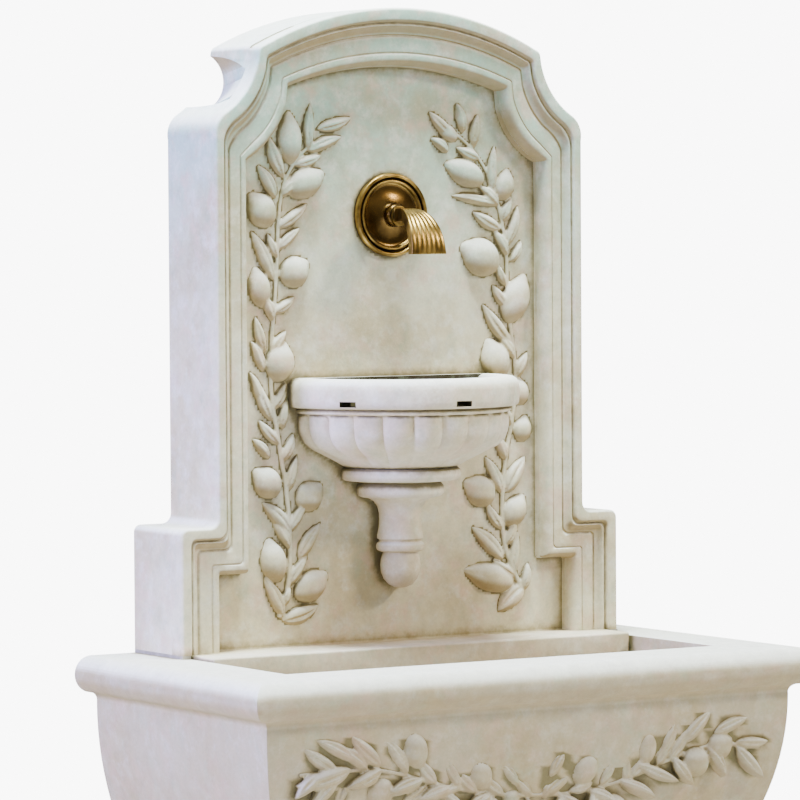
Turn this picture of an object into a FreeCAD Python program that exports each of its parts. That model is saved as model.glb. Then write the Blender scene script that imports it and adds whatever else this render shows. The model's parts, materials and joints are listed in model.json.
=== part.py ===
"""Garden wall fountain in cast stone: basin, ledge block, back panel, half bowl, brass spout and its pump.

Millimetres, +Z up, +X to the right, the house wall behind at +Y and the front at -Y. The origin is the
middle of the floor area that the whole fountain covers.
"""
import FreeCAD, Part
import math
import os
import Sketcher

Vector = FreeCAD.Vector
Rotation = FreeCAD.Rotation
Placement = FreeCAD.Placement

os.makedirs("parts", exist_ok=True)
doc = FreeCAD.newDocument("garden_wall_fountain")
sheet = doc.addObject("Spreadsheet::Sheet", "Sizes")
rows = []
parts = {}


class Size:
    """A length together with the expression that works it out from the sheet."""

    def __init__(self, text, value):
        self.text = text
        self.value = value

    def __add__(self, other):
        other = as_size(other)
        return Size(f"({self.text} + {other.text})", self.value + other.value)

    def __sub__(self, other):
        other = as_size(other)
        return Size(f"({self.text} - {other.text})", self.value - other.value)

    def __mul__(self, factor):
        return Size(f"({self.text} * {factor})", self.value * factor)

    def __truediv__(self, divisor):
        return Size(f"({self.text} / {divisor})", self.value / divisor)

    def __neg__(self):
        return Size(f"(-1 * {self.text})", -self.value)

    def __float__(self):
        return float(self.value)


def as_size(number):
    return number if isinstance(number, Size) else Size(str(number), number)


def size(name, value):
    """Writes one driving size into the sheet and hands it back for use."""
    rows.append(name)
    cell = f"B{len(rows)}"
    sheet.set(f"A{len(rows)}", name)
    sheet.set(cell, str(value))
    sheet.setAlias(cell, name)
    return Size(f"Sizes.{name}", value)


# Basin: a trough with a bullnosed rim, bellied walls and a low plinth
basin_width = size("basin_width", 960)
basin_depth = size("basin_depth", 524)
rim_level = size("rim_level", 442)
nose_radius = size("nose_radius", 27)
rim_overhang = size("rim_overhang", 36)
cavetto_drop = size("cavetto_drop", 14)
belly_inset = size("belly_inset", 119)
plinth_rise = size("plinth_rise", 50)
plinth_ledge = size("plinth_ledge", 20)
rim_width = size("rim_width", 114)
cavity_inset = size("cavity_inset", 74)
rear_wall = size("rear_wall", 55)
floor_level = size("floor_level", 90)
base_recess = size("base_recess", 35)
base_edge = size("base_edge", 60)
bearer_width = size("bearer_width", 24)
bearer_drop = size("bearer_drop", 57)

# Ledge block that stands in the basin under the panel and hides the pump
mortar_joint = size("mortar_joint", 5)
block_gap = size("block_gap", 4)
ledge_thickness = size("ledge_thickness", 60)
ledge_front = size("ledge_front", 200)
block_wall = size("block_wall", 25)
block_inset = size("block_inset", 75)
inlet_width = size("inlet_width", 70)
inlet_rise = size("inlet_rise", 34)
inlet_pitch = size("inlet_pitch", 150)

# Back panel: outline
panel_depth = size("panel_depth", 142)
foot_width = size("foot_width", 760)
foot_rise = size("foot_rise", 182)
body_width = size("body_width", 636)
body_rise = size("body_rise", 561)
shoulder_inset = size("shoulder_inset", 18)
shoulder_rise = size("shoulder_rise", 39)
cove_width = size("cove_width", 53)
cove_rise = size("cove_rise", 75)
ear_rise = size("ear_rise", 20)
ear_inset = size("ear_inset", 3)
arch_rise = size("arch_rise", 60)
foot_corner = size("foot_corner", 11)
foot_cove = size("foot_cove", 15)
ear_hollow = size("ear_hollow", 43)
ear_hollow_level = size("ear_hollow_level", 830)
ear_hollow_offset = size("ear_hollow_offset", 268)
ear_hollow_rise = size("ear_hollow_rise", 13)
ear_hollow_swing = size("ear_hollow_swing", 34)

# Back panel: stepped frame and sunk field
frame_flat = size("frame_flat", 16)
frame_step = size("frame_step", 6)
frame_bead = size("frame_bead", 34)
frame_drop = size("frame_drop", 12)
field_drop = size("field_drop", 42)
frame_side = size("frame_side", 60)
frame_foot = size("frame_foot", 73)
frame_foot_top = size("frame_foot_top", 70)
frame_crown = size("frame_crown", 85)
inner_corner_width = size("inner_corner_width", 374)
inner_arch_rise = size("inner_arch_rise", 33)
inner_neck_rise = size("inner_neck_rise", 28)
inner_cove_rise = size("inner_cove_rise", 80)

# Back panel: hollow behind
hollow_depth = size("hollow_depth", 72)
hollow_side = size("hollow_side", 68)
hollow_low = size("hollow_low", 55)
hollow_rise = size("hollow_rise", 640)
chase_width = size("chase_width", 34)
chase_back = size("chase_back", 22)
chase_drop = size("chase_drop", 190)

# Bowl and corbel, both turned about one upright axis in front of the field
axis_stand = size("axis_stand", 26)
bowl_radius = size("bowl_radius", 178)
bowl_level = size("bowl_level", 841)
bowl_rim = size("bowl_rim", 44)
bowl_body_top = size("bowl_body_top", 163)
bowl_body_low = size("bowl_body_low", 84)
bowl_rise = size("bowl_rise", 134)
bowl_inside = size("bowl_inside", 140)
bowl_wall = size("bowl_wall", 24)
bowl_floor = size("bowl_floor", 40)
flute_depth = size("flute_depth", 7)
slot_width = size("slot_width", 26)
slot_rise = size("slot_rise", 8)
slot_angle = size("slot_angle", 57)
disc_radius = size("disc_radius", 91)
disc_rise = size("disc_rise", 20)
cap_radius = size("cap_radius", 66)
cap_rise = size("cap_rise", 25)
shaft_radius = size("shaft_radius", 31)
shaft_rise = size("shaft_rise", 65)
ring_radius = size("ring_radius", 36)
ring_rise = size("ring_rise", 16)
drop_radius = size("drop_radius", 30)
drop_rise = size("drop_rise", 54)
dowel_radius = size("dowel_radius", 6)
dowel_hold = size("dowel_hold", 18)
bowl_dowel_drop = size("bowl_dowel_drop", 37)
bowl_dowel_pitch = size("bowl_dowel_pitch", 160)
corbel_dowel_pitch = size("corbel_dowel_pitch", 70)
fit_gap = size("fit_gap", 0.05)

# Brass spout and what carries it
spout_level = size("spout_level", 1079)
rosette_radius = size("rosette_radius", 60)
rosette_rise = size("rosette_rise", 12)
gasket_thickness = size("gasket_thickness", 2)
tail_radius = size("tail_radius", 10.4)
tail_bore = size("tail_bore", 7)
nut_width = size("nut_width", 34)
nut_thickness = size("nut_thickness", 8)
washer_radius = size("washer_radius", 21)
spout_reach = size("spout_reach", 104)
spout_drop = size("spout_drop", 51)
spout_root_width = size("spout_root_width", 19)
spout_mouth_width = size("spout_mouth_width", 60)
spout_root_thickness = size("spout_root_thickness", 17)
spout_mouth_thickness = size("spout_mouth_thickness", 10)
ridge_height = size("ridge_height", 1.6)

# Hose and pump
hose_back = size("hose_back", 38)
hose_radius = size("hose_radius", 9)
hose_bore = size("hose_bore", 6.4)
hose_bend = size("hose_bend", 60)
barb_length = size("barb_length", 24)
elbow_radius = size("elbow_radius", 13)
clip_wall = size("clip_wall", 1.6)
clip_rise = size("clip_rise", 9)
saddle_rise = size("saddle_rise", 16)
saddle_pitch = size("saddle_pitch", 260)
saddle_width = size("saddle_width", 58)
screw_radius = size("screw_radius", 2.2)
screw_length = size("screw_length", 18)
pump_front = size("pump_front", 110)
pump_width = size("pump_width", 104)
pump_depth = size("pump_depth", 74)
pump_rise = size("pump_rise", 82)
pump_corner = size("pump_corner", 8)
pump_foot_rise = size("pump_foot_rise", 8)
pump_foot_radius = size("pump_foot_radius", 9)
chamber_radius = size("chamber_radius", 23)
chamber_depth = size("chamber_depth", 24)
rotor_radius = size("rotor_radius", 9)
rotor_length = size("rotor_length", 34)
pin_radius = size("pin_radius", 1.5)
blade_radius = size("blade_radius", 19)
blade_length = size("blade_length", 15)
blade_thickness = size("blade_thickness", 2)
run_gap = size("run_gap", 0.5)
grille_thickness = size("grille_thickness", 5)
grille_slot = size("grille_slot", 4)
knob_radius = size("knob_radius", 8)
knob_rise = size("knob_rise", 7)
gland_radius = size("gland_radius", 7)
gland_lip_thickness = size("gland_lip_thickness", 5)

# Drain
drain_offset = size("drain_offset", 150)
drain_flange = size("drain_flange", 30)
drain_flange_rise = size("drain_flange_rise", 4)
drain_radius = size("drain_radius", 16.5)
drain_bore = size("drain_bore", 12)
drain_nut_width = size("drain_nut_width", 48)
drain_nut_rise = size("drain_nut_rise", 10)
drain_washer_rise = size("drain_washer_rise", 3)
plug_rise = size("plug_rise", 12)
plug_knob = size("plug_knob", 7)
plug_cap = size("plug_cap", 3)

# Cleats that hook the panel to the house wall
cleat_width = size("cleat_width", 280)
cleat_rise = size("cleat_rise", 48)
cleat_sheet = size("cleat_sheet", 3)
cleat_recess = size("cleat_recess", 16)
cleat_lift = size("cleat_lift", 28)
cleat_level = size("cleat_level", 757)
anchor_radius = size("anchor_radius", 3.6)
anchor_pitch = size("anchor_pitch", 200)
pin_drop = size("pin_drop", 32)
locating_pitch = size("locating_pitch", 600)
seat_gap = size("seat_gap", 0.3)

doc.recompute()

# Share of a quarter-round's width and height at its middle
ARC_IN = 0.293
ARC_UP = 0.707
# Share of a flatter cove's width and height at the point that its arc passes through
COVE_IN = 0.63
COVE_UP = 0.42
# Share of the belly's inset and height at the point that its arc passes through
BELLY_IN = 0.275
BELLY_UP = 0.45
# Length by which a cutter runs past the face that it opens
PAST = 5

TURNS = {
    "front": Rotation(Vector(1, 0, 0), 90),
    "side": Rotation(Vector(1, 1, 1), 120),
    "top": Rotation(),
}
ORIGIN_PLANES = {"front": "XZ_Plane", "side": "YZ_Plane", "top": "XY_Plane"}


def bind(item, **lengths):
    """Binds properties to expressions; Base_x stands for the sub-property Placement.Base.x."""
    for name, length in lengths.items():
        path = name.replace("Base_", "Placement.Base.")
        item.setExpression(path, as_size(length).text)
    return item


def place(item, x=0, y=0, z=0, turn=None):
    if turn is not None:
        item.Placement = Placement(Vector(float(x), float(y), float(z)), turn)
    return bind(item, Base_x=x, Base_y=y, Base_z=z)


def keep(name, item):
    """Registers a finished sub-part under the name of its file."""
    item.Label = name
    parts[name] = item
    return item


def mirrored(half, crown=()):
    """Completes a right-hand half outline, listed upwards, with its mirror image listed downwards."""
    path = list(half)
    arrival = tuple(crown)
    for step in reversed(half):
        path.append((-step[0], step[1]) + arrival)
        arrival = (-step[2], step[3]) if len(step) == 4 else ()
    return path


def profile(name, plane, offset, path, body=None, closing=()):
    """Draws a closed outline: (x, y) arrives by a line and (x, y, through_x, through_y) by an arc."""
    if body is None:
        sketch = doc.addObject("Sketcher::SketchObject", name)
        shift = {"front": {"y": -as_size(offset)}, "side": {"x": offset}, "top": {"z": offset}}[plane]
        place(sketch, turn=TURNS[plane], **shift)
    else:
        sketch = body.newObject("Sketcher::SketchObject", name)
        role = ORIGIN_PLANES[plane]
        sketch.AttachmentSupport = [(f, "") for f in body.Origin.OriginFeatures if f.Role == role]
        sketch.MapMode = "FlatFace"
        sketch.setExpression("AttachmentOffset.Base.z", as_size(offset).text)
    points = [(as_size(p[0]), as_size(p[1])) for p in path]
    throughs = [tuple(as_size(v) for v in p[2:]) for p in path[1:]] + [tuple(as_size(v) for v in closing)]
    spots = [Vector(float(x), float(y), 0) for x, y in points]
    ends = []
    for index, through in enumerate(throughs):
        here, there = spots[index], spots[(index + 1) % len(spots)]
        if through:
            middle = Vector(float(through[0]), float(through[1]), 0)
            arc = sketch.addGeometry(Part.Arc(here, middle, there), False)
            forward = (sketch.getPoint(arc, 1) - here).Length < (sketch.getPoint(arc, 2) - here).Length
            ends.append((arc, 1, 2) if forward else (arc, 2, 1))
            mark = sketch.addGeometry(Part.Point(middle), True)
            fix_point(sketch, mark, 1, through)
            sketch.addConstraint(Sketcher.Constraint("PointOnObject", mark, 1, arc))
        else:
            ends.append((sketch.addGeometry(Part.LineSegment(here, there), False), 1, 2))
    for index, (line, start, _) in enumerate(ends):
        before = ends[index - 1]
        sketch.addConstraint(Sketcher.Constraint("Coincident", before[0], before[2], line, start))
        fix_point(sketch, line, start, points[index])
    return sketch


def fix_point(sketch, geometry, position, point):
    for kind, length in zip(("DistanceX", "DistanceY"), point):
        fixed = Sketcher.Constraint(kind, -1, 1, geometry, position, float(length))
        number = sketch.addConstraint(fixed)
        sketch.setExpression(f"Constraints[{number}]", length.text)


def extrude(name, base, length, back=0):
    """Raises an outline by a length along its normal, and by another length against it."""
    item = doc.addObject("Part::Extrusion", name)
    item.Base = base
    item.DirMode = "Normal"
    item.Solid = True
    return bind(item, LengthFwd=length, LengthRev=back)


def turned(name, path, y, angle=360, closing=()):
    """Turns an outline drawn in radius and height about the upright line through x = 0 and this y."""
    sketch = profile(name + "_outline", "front", -as_size(y), path, closing=closing)
    item = doc.addObject("Part::Revolution", name)
    item.Source = sketch
    item.Axis = Vector(0, 0, 1)
    item.Base = Vector(0, float(y), 0)
    item.Angle = angle
    item.Solid = True
    item.setExpression("Base.y", as_size(y).text)
    return item


def box(name, x, y, z):
    """A block between two values on each axis."""
    item = doc.addObject("Part::Box", name)
    spans = [(as_size(low), as_size(high)) for low, high in (x, y, z)]
    bind(item, Length=spans[0][1] - spans[0][0], Width=spans[1][1] - spans[1][0],
         Height=spans[2][1] - spans[2][0])
    return place(item, *[low for low, _ in spans])


def rod(name, radius, length, x=0, y=0, z=0, along="z"):
    """A cylinder from a point along +z, +x or +y."""
    item = doc.addObject("Part::Cylinder", name)
    turn = {"z": Rotation(), "x": Rotation(Vector(0, 1, 0), 90), "y": Rotation(Vector(1, 0, 0), -90)}
    bind(item, Radius=radius, Height=length)
    return place(item, x, y, z, turn[along])


def fuse(name, *items):
    item = doc.addObject("Part::MultiFuse", name)
    item.Shapes = list(items)
    item.Refine = True
    return item


def cut(name, base, *tools):
    item = doc.addObject("Part::Cut", name + "_cut")
    item.Base = base
    item.Tool = fuse(name + "_cutters", *tools) if len(tools) > 1 else tools[0]
    return item


def common(name, *items):
    item = doc.addObject("Part::MultiCommon", name)
    item.Shapes = list(items)
    return item


def group(name, items):
    """Keeps several separate solids of one kind together."""
    item = doc.addObject("Part::Compound", name)
    item.Links = items
    return item


def rounded(name, base, radius, picks):
    """Rounds the edges that a test picks out of the finished base."""
    base.recompute(True)
    item = doc.addObject("Part::Fillet", name)
    item.Base = base
    numbers = [n for n, edge in enumerate(base.Shape.Edges, 1) if picks(edge)]
    item.Edges = [(number, float(radius), float(radius)) for number in numbers]
    return item


def new_body(name):
    return doc.addObject("PartDesign::Body", name)


def pad(body, name, sketch, length, reverse=False):
    item = body.newObject("PartDesign::Pad", name)
    item.Profile = sketch
    item.Reversed = reverse
    sketch.Visibility = False
    return bind(item, Length=length)


def pocket(body, name, sketch, length, reverse=False):
    item = body.newObject("PartDesign::Pocket", name)
    item.Profile = sketch
    item.Reversed = reverse
    return bind(item, Length=length)


def revolution(body, name, sketch):
    item = body.newObject("PartDesign::Revolution", name)
    item.Profile = sketch
    item.ReferenceAxis = (sketch, ["V_Axis"])
    item.Angle = 360
    return item


def circle(body, name, radius, offset=0, x=0, y=0, plane="top"):
    """A circle in a body, on one of the body's own planes."""
    sketch = body.newObject("Sketcher::SketchObject", name)
    role = ORIGIN_PLANES[plane]
    sketch.AttachmentSupport = [(f, "") for f in body.Origin.OriginFeatures if f.Role == role]
    sketch.MapMode = "FlatFace"
    sketch.setExpression("AttachmentOffset.Base.z", as_size(offset).text)
    add_circle(sketch, radius, x, y)
    return sketch


def add_circle(sketch, radius, x=0, y=0):
    x, y, radius = as_size(x), as_size(y), as_size(radius)
    middle = Vector(float(x), float(y), 0)
    ring = sketch.addGeometry(Part.Circle(middle, Vector(0, 0, 1), float(radius)), False)
    fix_point(sketch, ring, 3, (x, y))
    number = sketch.addConstraint(Sketcher.Constraint("Radius", ring, float(radius)))
    sketch.setExpression(f"Constraints[{number}]", radius.text)
    return ring


def hexagon(body, name, across, offset=0):
    """A hexagon over its flats, drawn in a body on the plane of its own x and y."""
    half = across / 2
    corner = across * (1 / math.sqrt(3))
    path = [(corner, 0), (corner / 2, half), (-corner / 2, half), (-corner, 0), (-corner / 2, -half),
            (corner / 2, -half)]
    return profile(name, "top", offset, path, body)


wall = basin_depth / 2


def ahead(distance):
    """The y of an upright plane this far in front of the house wall."""
    return wall - distance


# Levels and places that several sub-parts share
rim_half = basin_width / 2
wall_half = rim_half - rim_overhang
under_rim = rim_level - nose_radius * 2 - cavetto_drop
cavity_half = rim_half - rim_width
cavity_front = basin_depth - rim_width
base_level = rim_level + mortar_joint
bearer_level = base_level - ledge_thickness
foot_half = foot_width / 2
body_half = body_width / 2
foot_top = base_level + foot_rise
shoulder_level = foot_top + body_rise
crown_level = shoulder_level + shoulder_rise + cove_rise + ear_rise + arch_rise
field_stand = panel_depth - field_drop
field = ahead(field_stand)
axis_y = ahead(field_stand + axis_stand)
hose_y = ahead(hose_back)
pump_y = ahead(pump_front)
bowl_low = bowl_level - bowl_rise
hollow_floor = base_level + hollow_low
cleat_floor = base_level + cleat_level

# Basin
def rim_steps(edge):
    """The underside cavetto and the bullnose, from the wall up to the top of the rim."""
    nose_back = edge - nose_radius
    low = rim_level - nose_radius * 2
    return [
        (edge - rim_overhang, under_rim),
        (nose_back, low, edge - rim_overhang + (nose_radius * -1 + rim_overhang) * ARC_IN,
         under_rim + cavetto_drop * ARC_UP),
        (nose_back, rim_level, edge, rim_level - nose_radius),
    ]


def belly_steps(edge):
    """The plinth and the bellied wall, from the floor up to under the rim, before the rim's own steps."""
    foot = edge - rim_overhang - belly_inset
    rise = under_rim - plinth_rise
    steps = rim_steps(edge)
    through = (edge - rim_overhang - belly_inset * BELLY_IN, plinth_rise + rise * BELLY_UP)
    return [(foot + plinth_ledge, 0), (foot + plinth_ledge, plinth_rise), (foot, plinth_rise),
            steps[0] + through] + steps[1:]


def cavity_steps(edge):
    rise = under_rim - floor_level
    through = (edge - cavity_inset * BELLY_IN, floor_level + rise * BELLY_UP)
    return [(edge - cavity_inset, floor_level), (edge, under_rim) + through, (edge, rim_level + PAST)]


def trough(name, half_width, depth, steps, rear):
    """A block with the same upright outline on its two sides and its front, and a flat back."""
    across = profile(name + "_across", "front", 0, mirrored(steps(half_width)))
    wide = extrude(name + "_wide", across, basin_depth, basin_depth)
    forward = [(wall - step[0], step[1]) + ((wall - step[2], step[3]) if len(step) == 4 else ())
               for step in steps(depth)]
    low, high = steps(depth)[0][1], steps(depth)[-1][1]
    path = [(rear, low)] + forward + [(rear, high)]
    along = profile(name + "_along", "side", 0, path)
    deep = extrude(name + "_deep", along, basin_width, basin_width)
    return common(name, wide, deep)


outer_block = trough("basin_block", rim_half, basin_depth, belly_steps, wall)
cavity = trough("basin_cavity", cavity_half, cavity_front, cavity_steps, ahead(rear_wall))
plinth_half = wall_half - belly_inset + plinth_ledge
plinth_front = basin_depth - rim_overhang - belly_inset + plinth_ledge
under_recess = box("base_recess_block", (-plinth_half + base_edge, plinth_half - base_edge),
                   (ahead(plinth_front) + base_edge, wall - base_edge), (-PAST, base_recess))
basin_chase = box("basin_chase", (-chase_width / 2, chase_width / 2),
                  (ahead(rear_wall + PAST), ahead(chase_back)), (rim_level - chase_drop, rim_level + PAST))
drain_y = ahead((ledge_front + cavity_front - cavity_inset) / 2)
drain_hole = rod("drain_hole", drain_radius + fit_gap, floor_level + PAST * 2, drain_offset, drain_y, -PAST)
basin_gland_x = cavity_half / 2
basin_gland_level = bearer_level - gland_radius * 3
gland_hole = rod("gland_hole", gland_radius + fit_gap, rear_wall + PAST * 2, basin_gland_x,
                 ahead(rear_wall + PAST), basin_gland_level, "y")
pins = (-locating_pitch / 2, locating_pitch / 2)
pin_y = ahead(rear_wall / 2)
basin_pins = [rod(f"basin_pin_hole_{n}", dowel_radius + fit_gap, pin_drop + PAST, x, pin_y,
                  rim_level - pin_drop) for n, x in enumerate(pins, 1)]
hollowed = cut("basin", outer_block, cavity, under_recess, basin_chase, drain_hole, gland_hole, *basin_pins)
bearers = [
    box(f"bearer_{n}", span, (ahead(ledge_front), ahead(rear_wall) + PAST),
        (bearer_level - bearer_drop, bearer_level))
    for n, span in enumerate([(-cavity_half - PAST * 2, -cavity_half + bearer_width),
                              (cavity_half - bearer_width, cavity_half + PAST * 2)], 1)
]
keep("basin", fuse("basin_cast", hollowed, *bearers))

# Ledge block: a slab on the bearers with a front wall and two end walls below it
block_half = cavity_half - block_gap
block_back = rear_wall + block_gap
chamber_half = block_half - block_inset
slab = box("ledge_slab", (-block_half, block_half), (ahead(ledge_front), ahead(block_back)),
           (bearer_level, base_level))
skirt = box("ledge_skirt", (-chamber_half, chamber_half), (ahead(ledge_front), ahead(block_back)),
            (floor_level, bearer_level + PAST))
chamber = box("pump_chamber", (-chamber_half + block_wall, chamber_half - block_wall),
              (ahead(ledge_front) + block_wall, wall), (floor_level - PAST, bearer_level))
inlets = [
    box(f"water_inlet_{n}", (inlet_pitch * n - inlet_width / 2, inlet_pitch * n + inlet_width / 2),
        (ahead(ledge_front) - PAST, ahead(ledge_front) + block_wall + PAST),
        (floor_level - PAST, floor_level + inlet_rise))
    for n in (-1, 0, 1)
]
keep("ledge_block", cut("ledge_block", fuse("ledge_cast", slab, skirt), chamber, *inlets))

# Mortar bed between the basin and the panel's foot, a U round the ledge block
bed = box("mortar_layer", (-foot_half, foot_half), (ahead(panel_depth), wall), (rim_level, base_level))
bed_clear = box("mortar_clear", (-cavity_half, cavity_half), (ahead(panel_depth) - PAST, ahead(rear_wall)),
                (rim_level - PAST, base_level + PAST))
bed_chase = box("mortar_chase", (-chase_width / 2, chase_width / 2),
                (ahead(rear_wall + PAST), ahead(chase_back)), (rim_level - PAST, base_level + PAST))
bed_pins = [rod(f"mortar_pin_hole_{n}", dowel_radius + fit_gap, mortar_joint + PAST * 2, x, pin_y,
                rim_level - PAST) for n, x in enumerate(pins, 1)]
keep("mortar_bed", cut("mortar_bed", bed, bed_clear, bed_chase, *bed_pins))

# Back panel
below = base_level - panel_depth
cove_half = body_half - shoulder_inset
neck_half = cove_half - cove_width
cove_low = shoulder_level + shoulder_rise
neck_level = cove_low + cove_rise
outline = [
    (foot_half, below), (foot_half, foot_top), (body_half, foot_top), (body_half, shoulder_level),
    (cove_half, cove_low, body_half - shoulder_inset * ARC_IN, shoulder_level + shoulder_rise * ARC_UP),
    (neck_half, neck_level, cove_half - cove_width * COVE_IN, cove_low + cove_rise * COVE_UP),
    (neck_half - ear_inset, neck_level + ear_rise),
]
panel_outline = profile("panel_outline", "front", -wall, mirrored(outline, (0, crown_level)))
slab_raw = extrude("panel_slab", panel_outline, panel_depth)
slab_cut = cut("panel_foot", slab_raw, box("below_foot", (-foot_width, foot_width),
               (ahead(panel_depth) - PAST, wall + PAST), (below - PAST, base_level)))


def corner_edges(x, z):
    """Picks the edges that run front to back through a corner of the outline, on both sides."""
    def test(edge):
        ends = [v.Point for v in edge.Vertexes]
        if len(ends) != 2 or abs(ends[0].y - ends[1].y) < float(panel_depth) / 2:
            return False
        return all(abs(abs(p.x) - float(x)) < 1 and abs(p.z - float(z)) < 1 for p in ends)
    return test


slab_soft = rounded("panel_foot_corners", slab_cut, foot_corner, corner_edges(foot_half, foot_top))
slab_soft = rounded("panel_foot_coves", slab_soft, foot_cove, corner_edges(body_half, foot_top))
slab_soft = rounded("panel_ears", slab_soft, foot_corner,
                    corner_edges(neck_half - ear_inset, neck_level + ear_rise))


def ear_cutter(side):
    """A round hollow under an arch end, deep at the back and running out before the front."""
    swing = Vector(side * float(ear_hollow_swing), -float(panel_depth), float(ear_hollow_rise))
    item = doc.addObject("Part::Cylinder", "ear_hollow_right" if side > 0 else "ear_hollow_left")
    bind(item, Radius=ear_hollow, Height=panel_depth * 3)
    return place(item, (ear_hollow_offset - ear_hollow_swing) * side, wall + panel_depth,
                 base_level + ear_hollow_level - ear_hollow_rise, Rotation(Vector(0, 0, 1), swing))


def frame_cutter(name, inset, drop):
    """A pocket that follows the outline at one inset from it."""
    ring = doc.addObject("Part::Offset2D", name + "_line")
    ring.Source = panel_outline
    ring.Join = "Tangent"
    bind(ring, Value=-inset)
    raised = extrude(name, ring, drop + PAST)
    return place(raised, 0, -(panel_depth - drop), 0)


inner_foot = foot_half - frame_foot
inner_half = body_half - frame_side
inner_crown = crown_level - frame_crown
inner_corner = inner_corner_width / 2
inner_corner_level = inner_crown - inner_arch_rise
inner_neck_level = inner_corner_level - inner_neck_rise
inner_cove_low = inner_neck_level - inner_cove_rise
inner_neck = inner_corner + ear_inset
inner_cove = inner_half - inner_neck
inner_outline = [
    (inner_foot, below), (inner_foot, foot_top - frame_foot_top), (inner_half, foot_top - frame_foot_top),
    (inner_half, inner_cove_low),
    (inner_neck, inner_neck_level, inner_half - inner_cove * COVE_IN,
     inner_cove_low + inner_cove_rise * COVE_UP),
    (inner_corner, inner_corner_level),
]
field_outline = profile("field_outline", "front", -field, mirrored(inner_outline, (0, inner_crown)))
field_cutter = extrude("field_cutter", field_outline, field_drop + PAST)
hollow = box("panel_hollow", (-body_half + hollow_side, body_half - hollow_side),
             (ahead(hollow_depth), wall + PAST), (hollow_floor, hollow_floor + hollow_rise))
panel_chase = box("panel_chase", (-chase_width / 2, chase_width / 2), (ahead(rear_wall), ahead(chase_back)),
                  (base_level - PAST, hollow_floor + PAST))
cleat_pocket = box("cleat_pocket", (-cleat_width / 2 - PAST * 2, cleat_width / 2 + PAST * 2),
                   (ahead(cleat_recess), wall + PAST),
                   (cleat_floor, cleat_floor + cleat_rise + cleat_lift * 2))
tail_hole = rod("tail_hole", tail_radius + seat_gap, panel_depth, 0, field - PAST, spout_level, "y")
bowl_dowel_x = (-bowl_dowel_pitch / 2, bowl_dowel_pitch / 2)
bowl_dowel_level = bowl_level - bowl_rim - bowl_dowel_drop
corbel_dowel_x = (-corbel_dowel_pitch / 2, corbel_dowel_pitch / 2)
corbel_dowel_level = bowl_low - disc_rise / 2
dowel_spots = [(x, bowl_dowel_level) for x in bowl_dowel_x]
dowel_spots += [(x, corbel_dowel_level) for x in corbel_dowel_x]


def dowel_holes(name):
    return [rod(f"{name}_dowel_hole_{n}", dowel_radius + fit_gap, dowel_hold * 2, x, field - dowel_hold, z,
                "y") for n, (x, z) in enumerate(dowel_spots, 1)]


panel_pins = [rod(f"panel_pin_hole_{n}", dowel_radius + fit_gap, pin_drop + PAST, x, pin_y,
                  base_level - PAST) for n, x in enumerate(pins, 1)]
saddle_low = hollow_floor + saddle_pitch / 2
saddle_levels = (saddle_low, saddle_low + saddle_pitch)
screw_x = (-saddle_width / 2 + screw_radius * 3, saddle_width / 2 - screw_radius * 3)
saddle_screws = [(x, z) for z in saddle_levels for x in screw_x]
screw_holes = [rod(f"saddle_screw_hole_{n}", screw_radius + fit_gap, screw_length, x,
                   ahead(hollow_depth + screw_length), z, "y") for n, (x, z) in enumerate(saddle_screws, 1)]
cleat_screw_x = [cleat_width * share for share in (-0.4, -0.15, 0.15, 0.4)]
cleat_screw_level = cleat_floor + cleat_lift + cleat_rise / 3
cleat_holes = [rod(f"cleat_screw_hole_{n}", screw_radius + fit_gap, screw_length, x,
                   ahead(cleat_recess + screw_length), cleat_screw_level, "y")
               for n, x in enumerate(cleat_screw_x, 1)]
keep("back_panel", cut(
    "back_panel", slab_soft, ear_cutter(-1), ear_cutter(1),
    frame_cutter("frame_flat_cutter", frame_flat, frame_step),
    frame_cutter("frame_bead_cutter", frame_bead, frame_drop), field_cutter, hollow, panel_chase,
    cleat_pocket, tail_hole, *dowel_holes("panel"), *panel_pins, *screw_holes, *cleat_holes))

# Locating pins, upright through the mortar bed
pin_rods = [rod(f"locating_pin_{n}", dowel_radius, (pin_drop - seat_gap) * 2 + mortar_joint, x, pin_y,
                rim_level - pin_drop + seat_gap) for n, x in enumerate(pins, 1)]
keep("locating_pins", group("locating_pins", pin_rods))

# Half bowl: a lobed body under a bullnosed rim, hollow above, cut flat by the field
BOWL_LEVELS = ((1.0, 1.0), (0.68, 1.0), (0.5, 0.96), (0.36, 0.82), (0.24, 0.58), (0.12, 0.28), (0.0, 0.0))
FLUTES = 22


def lobed_ring(radius, depth, z):
    """A closed ring of outward arcs about the bowl's axis, one arc to a flute."""
    def spot(turn, reach):
        angle = 2 * math.pi * turn / FLUTES
        return Vector(reach * math.cos(angle), float(axis_y) + reach * math.sin(angle), z)
    edges = [Part.Arc(spot(n, radius - depth), spot(n + 0.5, radius), spot(n + 1, radius - depth)).toShape()
             for n in range(FLUTES)]
    return Part.Wire(edges)


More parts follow.
